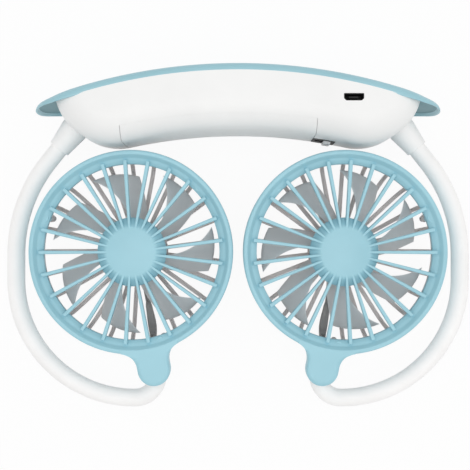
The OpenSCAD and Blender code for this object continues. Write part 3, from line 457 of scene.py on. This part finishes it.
def bow(centre, r, start, end, count):
    """Arc points centre + r (cos a, sin a) with a from start to end degrees, and the way along it."""
    a = np.radians(np.linspace(start, end, count))
    way = np.sign(end - start)
    points = centre + r * np.stack([np.cos(a), np.sin(a)], -1)
    return points, way * np.stack([-np.sin(a), np.cos(a)], -1)


def straight(p, q, count):
    """Points from p to q and the constant direction between them."""
    s = np.linspace(0, 1, count)[:, None]
    return p + (q - p) * s, np.broadcast_to((q - p) / np.linalg.norm(q - p), (count, 2))


print("upper arc", round(UPPER_R, 2), "lower arc", round(LOWER_R, 2))

# %% [markdown]
# Each sleeve is a round section carried along its stretch of the line. The root, middle and hook
# stretches cross the three hinges, and are left in the table's frame, attached to no body.

# %% Sleeves
CIRCLE = np.radians(np.arange(36) * 10)


def sleeve(side, runs):
    """Circle of radius 3.8 on joined runs of (points, directions); the right side mirrors x."""
    line = np.concatenate([p for p, _ in runs])
    way = np.concatenate([d for _, d in runs])
    keep = np.concatenate([[True], np.linalg.norm(np.diff(line, axis=0), axis=1) > 1e-4])
    line, way = line[keep], way[keep]
    path = np.column_stack([line, np.full(len(line), ARM_Z)])
    across = np.column_stack([-way[:, 1], way[:, 0], np.zeros(len(line))])
    up = np.broadcast_to([0.0, 0.0, 1.0], path.shape)
    section = TUBE_R * np.stack([np.cos(CIRCLE), np.sin(CIRCLE)], -1)
    grid = swept(path, across, up, section)
    grid[..., 0] *= -side
    return grid


def side_name(side):
    """Left is the side of negative X."""
    return "left" if side < 0 else "right"


for side in (-1, 1):
    name = side_name(side)
    upper = bow(UPPER_C, UPPER_R, 141.5, 180, 60)
    lower = bow(LOWER_C, LOWER_R, 180, 270, 90)
    hook = bow(HOOK_C, HOOK_R, 270, 371, 44)
    root = straight(SEAT - 3 * OUTWARD, ROOT_END, 26)
    middle = straight(np.array([ARM_X, UPPER_C[1]]), np.array([ARM_X, LOWER_C[1]]), 14)
    link = straight(LOWER_C - [0, LOWER_R], HOOK_C - [0, HOOK_R], 3)
    moulded(f"{name}_upper_sleeve", [(sleeve(side, [upper]), False, True)], f"{name}_upper",
            [f"{name}_upper_arm"], "arm_white")
    moulded(f"{name}_lower_sleeve", [(sleeve(side, [lower]), False, True)], f"{name}_lower",
            [f"{name}_lower_arm"], "arm_white")
    bend = moulded(f"{name}_root_sleeve", [(sleeve(side, [root]), False, True)], None,
                   [f"{name}_root_flex"], "arm_white")
    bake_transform(bend)
    bend = moulded(f"{name}_middle_sleeve", [(sleeve(side, [middle]), False, True)], None,
                   [f"{name}_mid_flex"], "arm_white")
    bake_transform(bend)
    bend = moulded(f"{name}_hook_sleeve", [(sleeve(side, [link, hook]), False, True)], None,
                   [f"{name}_tip_flex"], "arm_white")
    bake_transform(bend)
print("sleeves on both sides")

# %% [markdown]
# Each collar is a soft turned sleeve, thick where it leaves the body and thinner at its mouth, with
# a rounded lip that stands clear of the arm. It is a profile turned about the arm's own line.

# %% Collars
for side in (-1, 1):
    profile = np.concatenate([
        [(3.85, -5.9), (5.95, -5.9), (5.95, -0.6)],
        soften([(5.95, -0.6), (5.95, 0.9), (4.72, 10.2), (4.72, 11.2), (3.82, 11.2), (3.82, 10.7)],
               [0, 1.4, 0.9, 0.3, 0.2, 0], 6, closed=False)])
    spin = np.radians(np.arange(72) * 5)[:, None]
    r, along = profile[None, :, 0], profile[None, :, 1]
    across = np.array([-OUTWARD[1], OUTWARD[0]])
    flat = SEAT + along[..., None] * OUTWARD + (r * np.cos(spin))[..., None] * across
    grid = np.concatenate([flat, (ARM_Z + r * np.sin(spin))[..., None]], -1)
    grid[..., 0] *= -side
    moulded(f"{side_name(side)}_collar_sleeve", [(grid, True, True)], "casing",
            [f"{side_name(side)}_arm_collar"], "arm_white", sharp=50)
print("collars on both sides")

# %% [markdown]
# The front of a fan head is one moulding: a ring, a domed hub on a hollow cone, and twenty-five
# spokes that widen from the hub to the ring and run down the cone as fins. A lobe grows out of
# the ring for the arm. Every form is placed in the head's own frame first, with the lobe along -Y.

# %% Head frame and the parts of the front grille
SPOKES, POST_R = 25, 1.75


def at_head(side, grid, turn=0.0):
    """Turned about the head's axis by turn - side * lean, then moved to the head's centre."""
    a = math.radians(turn - side * LEAN)
    x, y, z = grid[..., 0], grid[..., 1], grid[..., 2]
    return np.stack([side * HEAD_X + x * math.cos(a) - y * math.sin(a),
                     HEAD_Y + x * math.sin(a) + y * math.cos(a), z], -1)


ring_profile = soften(
    [(41.3, 17.02), (HEAD_R, 17.02), (HEAD_R, HEAD_H), (41.25, HEAD_H), (39.9, 28.0), (38.7, 27.5),
     (37.3, 26.5), (37.3, 24.6), (38.2, 24.6), (38.2, 25.9), (39.2, 26.45), (41.3, 26.5)],
    [0.15, 0.2, 1.4, 0.4, 0.4, 0.4, 0.4, 0.25, 0.2, 0.2, 0.2, 0.2], 7)
DOME_R, DOME_DROP, CONE_R = 10.8, 1.1, 14.7
bulge = (DOME_R**2 + DOME_DROP**2) / (2 * DOME_DROP)
dome_x = np.linspace(0, DOME_R - 1.3, 9)
hub_profile = np.concatenate([
    np.column_stack([dome_x, HEAD_H - bulge + np.sqrt(bulge**2 - dome_x**2)]),
    soften([(9.5, 29.15), (DOME_R, 28.9), (CONE_R, 25.5), (CONE_R, 24.3), (13.1, 24.3),
            (13.1, 24.9), (9.2, 27.3), (0.0, 28.4)],
           [0, 1.2, 0.5, 0.25, 0.25, 0.2, 0.5, 0], 7, closed=False)[1:]])


def post_grids(low, high, reach):
    """Three posts of radius 1.75 at reach from the axis, between two heights, each between two spokes."""
    corners = [(0.0, low), (POST_R, low), (POST_R, high), (0.0, high)]
    edge = soften(corners, [0, 0.25, 0.25, 0], 4, closed=False)
    a = np.radians(270 + 360 * np.array([0.5, 8.5, 16.5]) / SPOKES)
    return [turned(edge, 28, (reach * math.cos(t), reach * math.sin(t))) for t in a]


ring_grid = turned(ring_profile, 240)
hub_grid = turned(hub_profile, 96)
print("ring points:", ring_grid.shape, "hub points:", hub_grid.shape)

# %% [markdown]
# A spoke is a bar along a radius. Its top is level, its sides are upright, and its foot follows the
# cone near the hub. The lobe is a flat pad whose inner side follows the ring's rim, so that ring
# and lobe read as one moulding, as they do in the photograph.

# %% Spokes and lobe of the front grille
PAD_R, PAD_TOP, LOBE_HALF, LOBE_Y, FILLET = 41.35, 30.03, 6.9, -50.6, 7.5


def front_spoke():
    """Along +X: half width 0.475 + 0.325 (r - 5.4) / 33.7; the top is level; the foot lies 0.15 mm
    under the cone's skin, which falls by 3.4 mm over 3.9 mm, then runs level to the ring."""
    r = np.concatenate([[9.3, 9.8, 10.8, 12.0, 13.3, 14.6, 15.0, 15.6], np.linspace(18, 36, 10),
                        [37.4, 38.2, 38.9]])
    half = 0.475 + 0.325 * (r - 5.4) / 33.7
    foot = np.where(r < CONE_R, 28.75 - np.maximum(r - DOME_R, 0) * 3.4 / 3.9, 26.35)
    foot = np.minimum(foot, 28.4)
    foot = np.where((r > CONE_R) & (r < 15.4), 25.9, foot)
    top, half, foot = 29.05, half[:, None], foot[:, None]
    round_off = np.array([(1.0, -0.42), (0.97, -0.2), (0.84, -0.06), (0.6, 0.0), (0.2, 0.03)])
    wall = np.stack([half + np.zeros((1, 2)), foot + (top - 0.6 - foot) * np.array([[0.0, 0.5]])], -1)
    crown = np.stack([half * round_off[None, :, 0], top + round_off[None, :, 1] + 0 * half], -1)
    right = np.concatenate([wall, crown], 1)
    left = right[:, ::-1] * np.array([-1, 1])
    section = np.concatenate([right, left], 1)
    path = np.column_stack([r, 0 * r, 0 * r])
    across = np.broadcast_to([0.0, 1.0, 0.0], path.shape)
    up = np.broadcast_to([0.0, 0.0, 1.0], path.shape)
    return swept(path, across, up, section)


def lobe_grid():
    """Plan outline P(u): an arc on the ring, a fillet and a round end, with inward normal N(u). Rings
    P + d N at height z round the edge off, and N fades out between 46.0 and 43.6 mm from the axis,
    where the pad runs into the ring. The flat top closes on a spine along x = 0."""
    fx = LOBE_HALF + FILLET
    fy = -math.sqrt((HEAD_R + FILLET) ** 2 - fx**2)
    touch = math.degrees(math.atan2(-fy, -fx))
    fillet, _ = bow(np.array([fx, fy]), FILLET, touch, 180, 14)
    root = np.linspace(-math.pi / 2, math.atan2(fy, fx), 9)
    inner = PAD_R * np.column_stack([np.cos(root), np.sin(root)])
    end, _ = bow(np.array([0.0, LOBE_Y]), LOBE_HALF, 0, -90, 16)
    half = np.concatenate([inner, inner[-1:] * 42.3 / PAD_R, fillet, end])
    outline = np.concatenate([half, half[-2:0:-1] * np.array([-1, 1])])
    way = np.roll(outline, -1, 0) - np.roll(outline, 1, 0)
    normal = np.stack([way[:, 1], -way[:, 0]], -1) / np.linalg.norm(way, axis=1, keepdims=True)
    centre = np.array([0.0, -46.0])
    normal *= np.sign(np.sum(normal * (centre - outline), 1, keepdims=True).mean())
    normal *= ease(43.6, 46.0, np.hypot(outline[:, 0], outline[:, 1]))[:, None]
    flat = outline + 2.3 * normal
    spine = np.column_stack([0 * flat[:, 0], np.minimum(flat[:, 1], -43.3)])
    rings = [(0, 24.0), (0, 26.0), (0, 28.5), (0.1, 29.08), (0.32, 29.53), (0.66, 29.83), (1.1, 29.99),
             (1.7, PAD_TOP), (2.3, PAD_TOP)]
    level = np.ones(len(outline))
    sheets = [np.column_stack([spine, 24.0 * level])]
    sheets += [np.column_stack([outline + d * normal, z * level]) for d, z in rings]
    sheets += [np.column_stack([k * flat + (1 - k) * spine, PAD_TOP * level]) for k in (0.6, 0.3, 0.0)]
    return np.stack(sheets)


for side in (-1, 1):
    spoke = front_spoke()
    sheets = [(at_head(side, ring_grid), True, True), (at_head(side, hub_grid), True, False),
              (at_head(side, lobe_grid()), False, True)]
    sheets += [(at_head(side, spoke, 270 + 360 * k / SPOKES), False, True) for k in range(SPOKES)]
    sheets += [(at_head(side, post), True, False) for post in post_grids(20.0, 27.4, 39.55)]
    front = moulded(f"{side_name(side)}_front_moulding", sheets, f"{side_name(side)}_head",
                    [f"{side_name(side)}_front_grille"], "head_blue")
print("front moulding faces:", len(front.data.polygons))

# %% [markdown]
# Behind the blades a rear basket closes the head: flat spokes from the motor's plate that turn up
# at the edge and end in a rim, which plugs into the front ring. The lobe's rear half is part of it.

# %% Rear basket
def rear_spoke():
    """Middle line: level at 0.9 from r 12 to 33.5, a quarter circle of radius 8.1, then up to 12.2."""
    flat = np.linspace(12.4, 33.5, 12)
    a = np.radians(np.linspace(-90, 0, 12))
    r = np.concatenate([flat, 33.5 + 8.1 * np.cos(a)[1:], [41.62, 41.65]])
    z = np.concatenate([np.full(12, 0.9), 9 + 8.1 * np.sin(a)[1:], [10.6, 12.3]])
    path = np.column_stack([r, 0 * r, z])
    way = np.gradient(path, axis=0)
    way /= np.linalg.norm(way, axis=1, keepdims=True)
    up = np.column_stack([-way[:, 2], 0 * r, way[:, 0]])
    across = np.broadcast_to([0.0, 1.0, 0.0], path.shape)
    section = soften([(-0.9, -0.9), (0.9, -0.9), (0.9, 0.9), (-0.9, 0.9)], 0.35, 4)
    return swept(path, across, up, section)


rim_profile = soften(
    [(42.5, 12.0), (HEAD_R, 16.98), (41.2, 16.98), (41.2, 20.0), (39.7, 20.0), (39.7, 13.6), (40.7, 12.0)],
    [0.5, 0.2, 0.15, 0.25, 0.25, 0.4, 0.4], 5)
plate_profile = np.concatenate([[(0.0, 0.0)], soften(
    [(0.0, 0.0), (13.4, 0.0), (13.4, 1.8), (11.5, 1.8), (11.5, 5.8), (10.32, 5.8), (10.32, 1.8), (0.0, 1.8)],
    [0, 0.4, 0.4, 0.3, 0.35, 0.3, 0.2, 0], 5, closed=False)])


def housing_grid():
    """Rounded rectangle in plan; rings P * k at height z close it below and above."""
    plan = soften([(-5.4, -41.6), (-5.4, -52.98), (5.4, -52.98), (5.4, -41.6)], [0.2, 3.2, 3.2, 0.2], 9)
    middle = np.array([0.0, -47.3])
    rings = [(0.0, 10.5), (0.86, 10.5), (0.94, 10.62), (0.985, 11.0), (1.0, 11.7), (1.0, 17.0),
             (1.0, 23.9), (0.97, 24.0), (0.0, 24.0)]
    level = np.ones(len(plan))
    return np.stack([np.column_stack([middle + (plan - middle) * k, z * level]) for k, z in rings])


for side in (-1, 1):
    spoke = rear_spoke()
    sheets = [(at_head(side, turned(rim_profile, 200)), True, True),
              (at_head(side, turned(plate_profile, 96)), True, False),
              (at_head(side, housing_grid()), False, True)]
    sheets += [(at_head(side, spoke, 270 + 360 * k / SPOKES), False, True) for k in range(SPOKES)]
    sheets += [(at_head(side, post), True, False) for post in post_grids(11.0, 16.98, 40.2)]
    rear = moulded(f"{side_name(side)}_rear_basket", sheets, f"{side_name(side)}_head",
                   [f"{side_name(side)}_rear_grille"], "grille_grey")
print("rear basket faces:", len(rear.data.polygons))

# %% [markdown]
# A dark moulded cover hides the motor's two leads where they cross the open basket. It lies on the
# spoke under the lobe and climbs with it towards the rim.

# %% Lead covers
def duct_grid():
    """Rounded section of half width b and half height 1.2 along (r, z) points on the line to the lobe."""
    r, z, half = np.array([(23.9, 2.2, 0.9), (24.4, 2.7, 1.2), (25.4, 3.0, 1.4), (27.5, 3.1, 1.5),
                           (30, 3.2, 1.7), (32.5, 3.5, 1.85), (34.8, 4.3, 1.85), (36.6, 5.6, 1.7),
                           (37.9, 7.2, 1.5), (38.8, 9.2, 1.3)]).T
    path = np.column_stack([0 * r, -r, z])
    way = np.gradient(path, axis=0)
    way /= np.linalg.norm(way, axis=1, keepdims=True)
    across = np.broadcast_to([1.0, 0.0, 0.0], path.shape)
    up = np.cross(across, way)
    section = soften([(-1, -1), (1, -1), (1, 1), (-1, 1)], 0.5, 5)
    return swept(path, across, up, section[None] * np.stack([half, 0 * half + 1.2], -1)[:, None])


for side in (-1, 1):
    moulded(f"{side_name(side)}_lead_cover", [(at_head(side, duct_grid()), False, True)],
            f"{side_name(side)}_head", [f"{side_name(side)}_wire_duct"], "duct_grey", sharp=50)
print("lead covers on both sides")

# %% [markdown]
# The impeller is a cup over the motor with seven blades. A blade is swept back and pitched: the
# angle of its two edges changes with the square of the distance from the hub, and its skin rises
# from the leading edge to the trailing one. Its thickness dies away at both edges and at the tip.

# %% Impellers
BLADES, BLADE_ROOT = 7, 12.7


def blade_grid():
    """At span s and chord c: r = 12.7 + (tip - 12.7) s; angle = lead(s)(1-c) + trail(s) c; z rises with c;
    half thickness = 0.55 * (1 - (2c-1)^6)^0.5, shrinking to zero at the tip."""
    s = np.concatenate([np.linspace(0, 0.96, 18), [0.985, 0.996, 1.0]])[:, None]
    c = (1 - np.cos(np.linspace(0, np.pi, 19)))[None] / 2
    tip = 35.4 - 2.2 * (1 - c) ** 2
    r = BLADE_ROOT + (tip - BLADE_ROOT) * s
    lead = -52.6 + 27 * s - 7.5 * s**2
    trail = -24.6 + 14.5 * s + 10.1 * s**2
    a = np.radians(lead * (1 - c) + trail * c)
    rise = 11.4 - 3.0 * s
    z = 8.6 + (11.4 - rise) / 2 + rise * c
    thick = 0.55 * np.sqrt(1 - (2 * c - 1) ** 6 + 1e-9) * np.sqrt(np.clip((1 - s) / 0.03, 0, 1))
    low = np.stack([r * np.cos(a), r * np.sin(a), z - thick], -1)
    high = np.stack([r * np.cos(a), r * np.sin(a), z + thick], -1)
    loop = np.concatenate([low, high[:, ::-1]], 1)
    root = np.broadcast_to(loop[:1].mean(1, keepdims=True), loop[:1].shape)
    return np.concatenate([root, loop])


fan_profile = soften(
    [(1.02, 18.6), (2.8, 18.6), (2.8, 20.4), (12.0, 20.4), (12.0, 8.2), (13.2, 8.2), (13.2, 20.6),
     (11.8, 22.0), (1.02, 22.0)],
    [0.05, 0.2, 0.3, 0.5, 0.3, 0.3, 0.7, 0.7, 0.05], 5)
for side, phase in ((-1, 17.7), (1, 40.4)):
    blade = blade_grid()
    turn = side * LEAN + phase
    sheets = [(at_head(side, turned(fan_profile, 96)), True, True)]
    sheets += [(at_head(side, blade, turn + 360 * k / BLADES), False, True) for k in range(BLADES)]
    fan = moulded(f"{side_name(side)}_fan_wheel", sheets, f"{side_name(side)}_fan",
                  [f"{side_name(side)}_impeller"], "blade_grey")
print("fan wheel faces:", len(fan.data.polygons))

# %% [markdown]
# Small parts of the CAD model are already the right shape and stay as they are. Moulded and
# pressed edges are never razor sharp, so those that can be seen get a fine bevel.

# %% Bevels on the small CAD parts that show
for node, width in (("switch_plate", 0.2), ("slide_knob", 0.28), ("usb_socket", 0.08), ("usb_tongue", 0.1)):
    edge = frame["nodes"][node].modifiers.new("soft_edges", "BEVEL")
    edge.width, edge.segments = width * MM, 3
    edge.limit_method, edge.angle_limit = "ANGLE", math.radians(40)
print("bevelled nodes done")

# %% [markdown]
# Injection-moulded plastic is never quite even: the colour drifts a little over centimetres, the
# spark-eroded mould leaves a fine grain that breaks up the highlights, and handling polishes it in
# places. One helper builds that from noise in the object's own coordinates. Only the numbers
# change from finish to finish: two colours, two roughnesses, then the size of the drift, the size
# of the grain and its depth in millimetres.

# %% Finishes
def linear(rgb):
    """8-bit screen colour to linear light: ((v/255 + 0.055) / 1.055)^2.4, nearly."""
    v = np.asarray(rgb, float) / 255
    return tuple(np.where(v <= 0.04045, v / 12.92, ((v + 0.055) / 1.055) ** 2.4)) + (1.0,)


def finish(name, light, dark, rough, drift, grain, depth, metal=0.0, coat=0.0, soft=0.0, brushed=0.0):
    """Noise of drift mm mixes two colours and two roughnesses; noise of grain mm lifts by depth mm."""
    material = bpy.data.materials.new(name)
    material.use_nodes = True
    nodes, links = material.node_tree.nodes, material.node_tree.links
    shader = nodes["Principled BSDF"]
    place = nodes.new("ShaderNodeTexCoord")
    cloud = nodes.new("ShaderNodeTexNoise")
    cloud.inputs["Scale"].default_value = 1000.0 / drift
    cloud.inputs["Detail"].default_value = 3.0
    links.new(place.outputs["Object"], cloud.inputs["Vector"])
    shade = nodes.new("ShaderNodeValToRGB")
    first, last = shade.color_ramp.elements
    first.position, last.position = 0.3, 0.7
    first.color, last.color = linear(dark), linear(light)
    links.new(cloud.outputs["Fac"], shade.inputs["Fac"])
    links.new(shade.outputs["Color"], shader.inputs["Base Color"])
    fine = nodes.new("ShaderNodeTexNoise")
    fine.inputs["Scale"].default_value = 1000.0 / grain
    fine.inputs["Detail"].default_value = 2.0
    if brushed:
        stretch = nodes.new("ShaderNodeMapping")
        stretch.inputs["Scale"].default_value = (1.0, 1.0, brushed)
        links.new(place.outputs["Object"], stretch.inputs["Vector"])
        links.new(stretch.outputs["Vector"], fine.inputs["Vector"])
    else:
        links.new(place.outputs["Object"], fine.inputs["Vector"])
    polish = nodes.new("ShaderNodeMapRange")
    polish.inputs["From Min"].default_value, polish.inputs["From Max"].default_value = 0.3, 0.7
    polish.inputs["To Min"].default_value, polish.inputs["To Max"].default_value = rough
    links.new(cloud.outputs["Fac"], polish.inputs["Value"])
    links.new(polish.outputs["Result"], shader.inputs["Roughness"])
    relief = nodes.new("ShaderNodeBump")
    relief.inputs["Strength"].default_value = 0.5
    relief.inputs["Distance"].default_value = depth * MM
    links.new(fine.outputs["Fac"], relief.inputs["Height"])
    links.new(relief.outputs["Normal"], shader.inputs["Normal"])
    shader.inputs["Metallic"].default_value = metal
    shader.inputs["Coat Weight"].default_value = coat
    shader.inputs["Coat Roughness"].default_value = 0.25
    shader.inputs["Sheen Weight"].default_value = soft
    return material


FINISH_ROWS = {
    "cover_blue": [(161, 205, 216), (153, 197, 208), (0.34, 0.42), 30, 0.5, 0.012],
    # painted shade: a darker blue that stands in for the shade on the cover's inner faces
    "cover_inside": [(118, 158, 167), (110, 150, 159), (0.5, 0.6), 30, 0.5, 0.012],
    "head_blue": [(161, 209, 222), (154, 202, 215), (0.34, 0.44), 22, 0.45, 0.012],
    "body_white": [(244, 244, 243), (239, 239, 238), (0.36, 0.46), 26, 0.4, 0.012],
    "arm_white": [(252, 251, 250), (247, 246, 245), (0.55, 0.66), 14, 0.28, 0.02],
    "grille_grey": [(234, 227, 225), (224, 217, 215), (0.45, 0.55), 15, 0.4, 0.02],
    "duct_grey": [(164, 162, 161), (152, 150, 149), (0.5, 0.6), 8, 0.3, 0.03],
    "blade_grey": [(222, 223, 224), (215, 217, 218), (0.4, 0.5), 16, 0.4, 0.015],
    "black_plastic": [(16, 17, 18), (11, 12, 13), (0.6, 0.7), 6, 0.25, 0.02],
    "knob_white": [(246, 247, 248), (240, 241, 242), (0.4, 0.5), 6, 0.3, 0.015],
    "cell_wrap": [(92, 142, 190), (80, 128, 176), (0.25, 0.35), 20, 0.6, 0.02],
    "nickel": [(196, 196, 190), (176, 176, 172), (0.22, 0.34), 5, 0.2, 0.01],
    "steel": [(190, 192, 196), (166, 168, 172), (0.2, 0.36), 6, 0.16, 0.02],
    "board_green": [(30, 104, 58), (20, 84, 46), (0.25, 0.35), 5, 0.9, 0.03],
    "lead_red": [(186, 34, 32), (164, 24, 24), (0.4, 0.5), 5, 0.3, 0.02],
    "magnet": [(84, 84, 88), (66, 66, 70), (0.5, 0.65), 4, 0.25, 0.03],
    "copper": [(196, 122, 72), (170, 98, 56), (0.25, 0.4), 5, 0.2, 0.03],
    "bronze": [(176, 146, 84), (150, 122, 68), (0.3, 0.45), 4, 0.2, 0.02],
}
EXTRAS = {
    "arm_white": {"soft": 0.45},
    "cell_wrap": {"coat": 0.4},
    "nickel": {"metal": 1.0},
    "steel": {"metal": 1.0, "brushed": 0.08},
    "board_green": {"coat": 0.5},
    "copper": {"metal": 1.0, "brushed": 0.2},
    "bronze": {"metal": 1.0},
}
finishes = {name: finish(name, *row, **EXTRAS.get(name, {})) for name, row in FINISH_ROWS.items()}
print("finishes:", len(finishes))

# %% [markdown]
# A new piece names its slot, and a CAD part's slot stands in the record, so one loop dresses them
# all. The inner face of the cover's free ends gets a darker blue, which is painted shade, in a matt
# finish, and only those faces of the plate that look inwards at its full depth take it.

# %% Every piece and every CAD part takes the finish of its slot
def dress():
    """New pieces take their slot's finish; a kept CAD part takes that of the slot in its record."""
    slot_of = {part["node"]: part["material_slot"] for part in frame["record"]["subparts"]}
    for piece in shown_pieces():
        name = piece.get("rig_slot") or slot_of[piece.name]
        name = "black_plastic" if piece.name == "usb_socket" else name
        piece.data.materials.clear()
        piece.data.materials.append(finishes[name])


def painted_shade_faces(polygons):
    """1 where a face lies within 0.2 mm of the plate's inner depth and looks towards -Y, else 0: the faces
    that take the painted shade.
    """
    centres, ways = np.empty(3 * len(polygons)), np.empty(3 * len(polygons))
    polygons.foreach_get("center", centres)
    polygons.foreach_get("normal", ways)
    x, y, _ = centres.reshape(-1, 3).T / MM
    depth = np.hypot(x, y - OUT_Y + COVER_R) - INNER_R - tip_lift(x)
    return ((np.abs(depth - PLATE_IN) < 0.2) & (ways[1::3] < -0.75)).astype(np.int32)


dress()
# The cover's inward faces take the darker blue, which is painted shade.
cover.data.materials.append(finishes["cover_inside"])
cover.data.polygons.foreach_set("material_index", painted_shade_faces(cover.data.polygons))

# %% [markdown]
# The photograph is lit softly from all round, with a broad light overhead, on pure white. The
# table is a white sheet. Most of what the camera sees of it is its own flat white, and the rest
# is the lit surface, so a faint shadow stays.

# %% Table, light and view
def plain_white(name, glow):
    """Diffuse white; camera, glossy and transmitted rays see a share, glow, of flat white instead."""
    material = bpy.data.materials.new(name)
    material.use_nodes = True
    nodes, links = material.node_tree.nodes, material.node_tree.links
    shader = nodes["Principled BSDF"]
    shader.inputs["Base Color"].default_value = (0.86, 0.86, 0.86, 1)
    shader.inputs["Roughness"].default_value = 0.9
    shader.inputs["Specular IOR Level"].default_value = 0.1
    flat = nodes.new("ShaderNodeEmission")
    flat.inputs["Strength"].default_value = 1.0
    rays = nodes.new("ShaderNodeLightPath")
    seen = nodes.new("ShaderNodeMath")
    seen.operation = "MAXIMUM"
    links.new(rays.outputs["Is Camera Ray"], seen.inputs[0])
    links.new(rays.outputs["Is Glossy Ray"], seen.inputs[1])
    also = nodes.new("ShaderNodeMath")
    also.operation = "MAXIMUM"
    links.new(seen.outputs[0], also.inputs[0])
    links.new(rays.outputs["Is Transmission Ray"], also.inputs[1])
    amount = nodes.new("ShaderNodeMath")
    amount.operation, amount.inputs[1].default_value = "MULTIPLY", glow
    links.new(also.outputs[0], amount.inputs[0])
    mix = nodes.new("ShaderNodeMixShader")
    links.new(amount.outputs[0], mix.inputs["Fac"])
    links.new(shader.outputs["BSDF"], mix.inputs[1])
    links.new(flat.outputs["Emission"], mix.inputs[2])
    links.new(mix.outputs["Shader"], nodes["Material Output"].inputs["Surface"])
    return material


span = np.linspace(-1500, 1500, 5)
table_grid = np.stack(np.meshgrid(span, span, [-0.02], indexing="ij"), -1)[:, :, 0]
sheet = moulded("table_sheet", [(table_grid, False, False)], None)
sheet.data.materials.append(plain_white("table_white", 0.93))
sheet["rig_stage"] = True
if sheet.data.polygons[0].normal.z < 0:
    sheet.data.flip_normals()


def lamp(name, place, size, watts):
    """A square lamp at place, turned so that its -Z axis points at the fan's middle, all in metres."""
    data = bpy.data.lights.new(name, "AREA")
    data.size, data.energy = size, watts
    light = bpy.data.objects.new(name, data)
    light.location = place
    light.rotation_euler = (Vector((0, 0, 0.01)) - Vector(place)).to_track_quat("-Z", "Y").to_euler()
    bpy.context.scene.collection.objects.link(light)


lamp("broad_light", (0.0, -0.04, 0.9), 0.7, 2.5)
lamp("left_light", (-0.9, 0.0, 0.5), 0.6, 0.45)
lamp("right_light", (0.9, 0.0, 0.5), 0.6, 0.9)
world = bpy.data.worlds.new("soft_white")
world.use_nodes = True
world.node_tree.nodes["Background"].inputs["Color"].default_value = (1, 1, 1, 1)
world.node_tree.nodes["Background"].inputs["Strength"].default_value = 0.67
bpy.context.scene.world = world
bpy.context.scene.view_settings.view_transform = "Standard"
print("lamps placed")

# %% [markdown]
# Last, the size of the dressed model is printed, to be set beside the CAD's own box.

# %% Size of the dressed model
low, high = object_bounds()
print("dressed box in mm:", [round(v / MM, 1) for v in (*low, *high)])
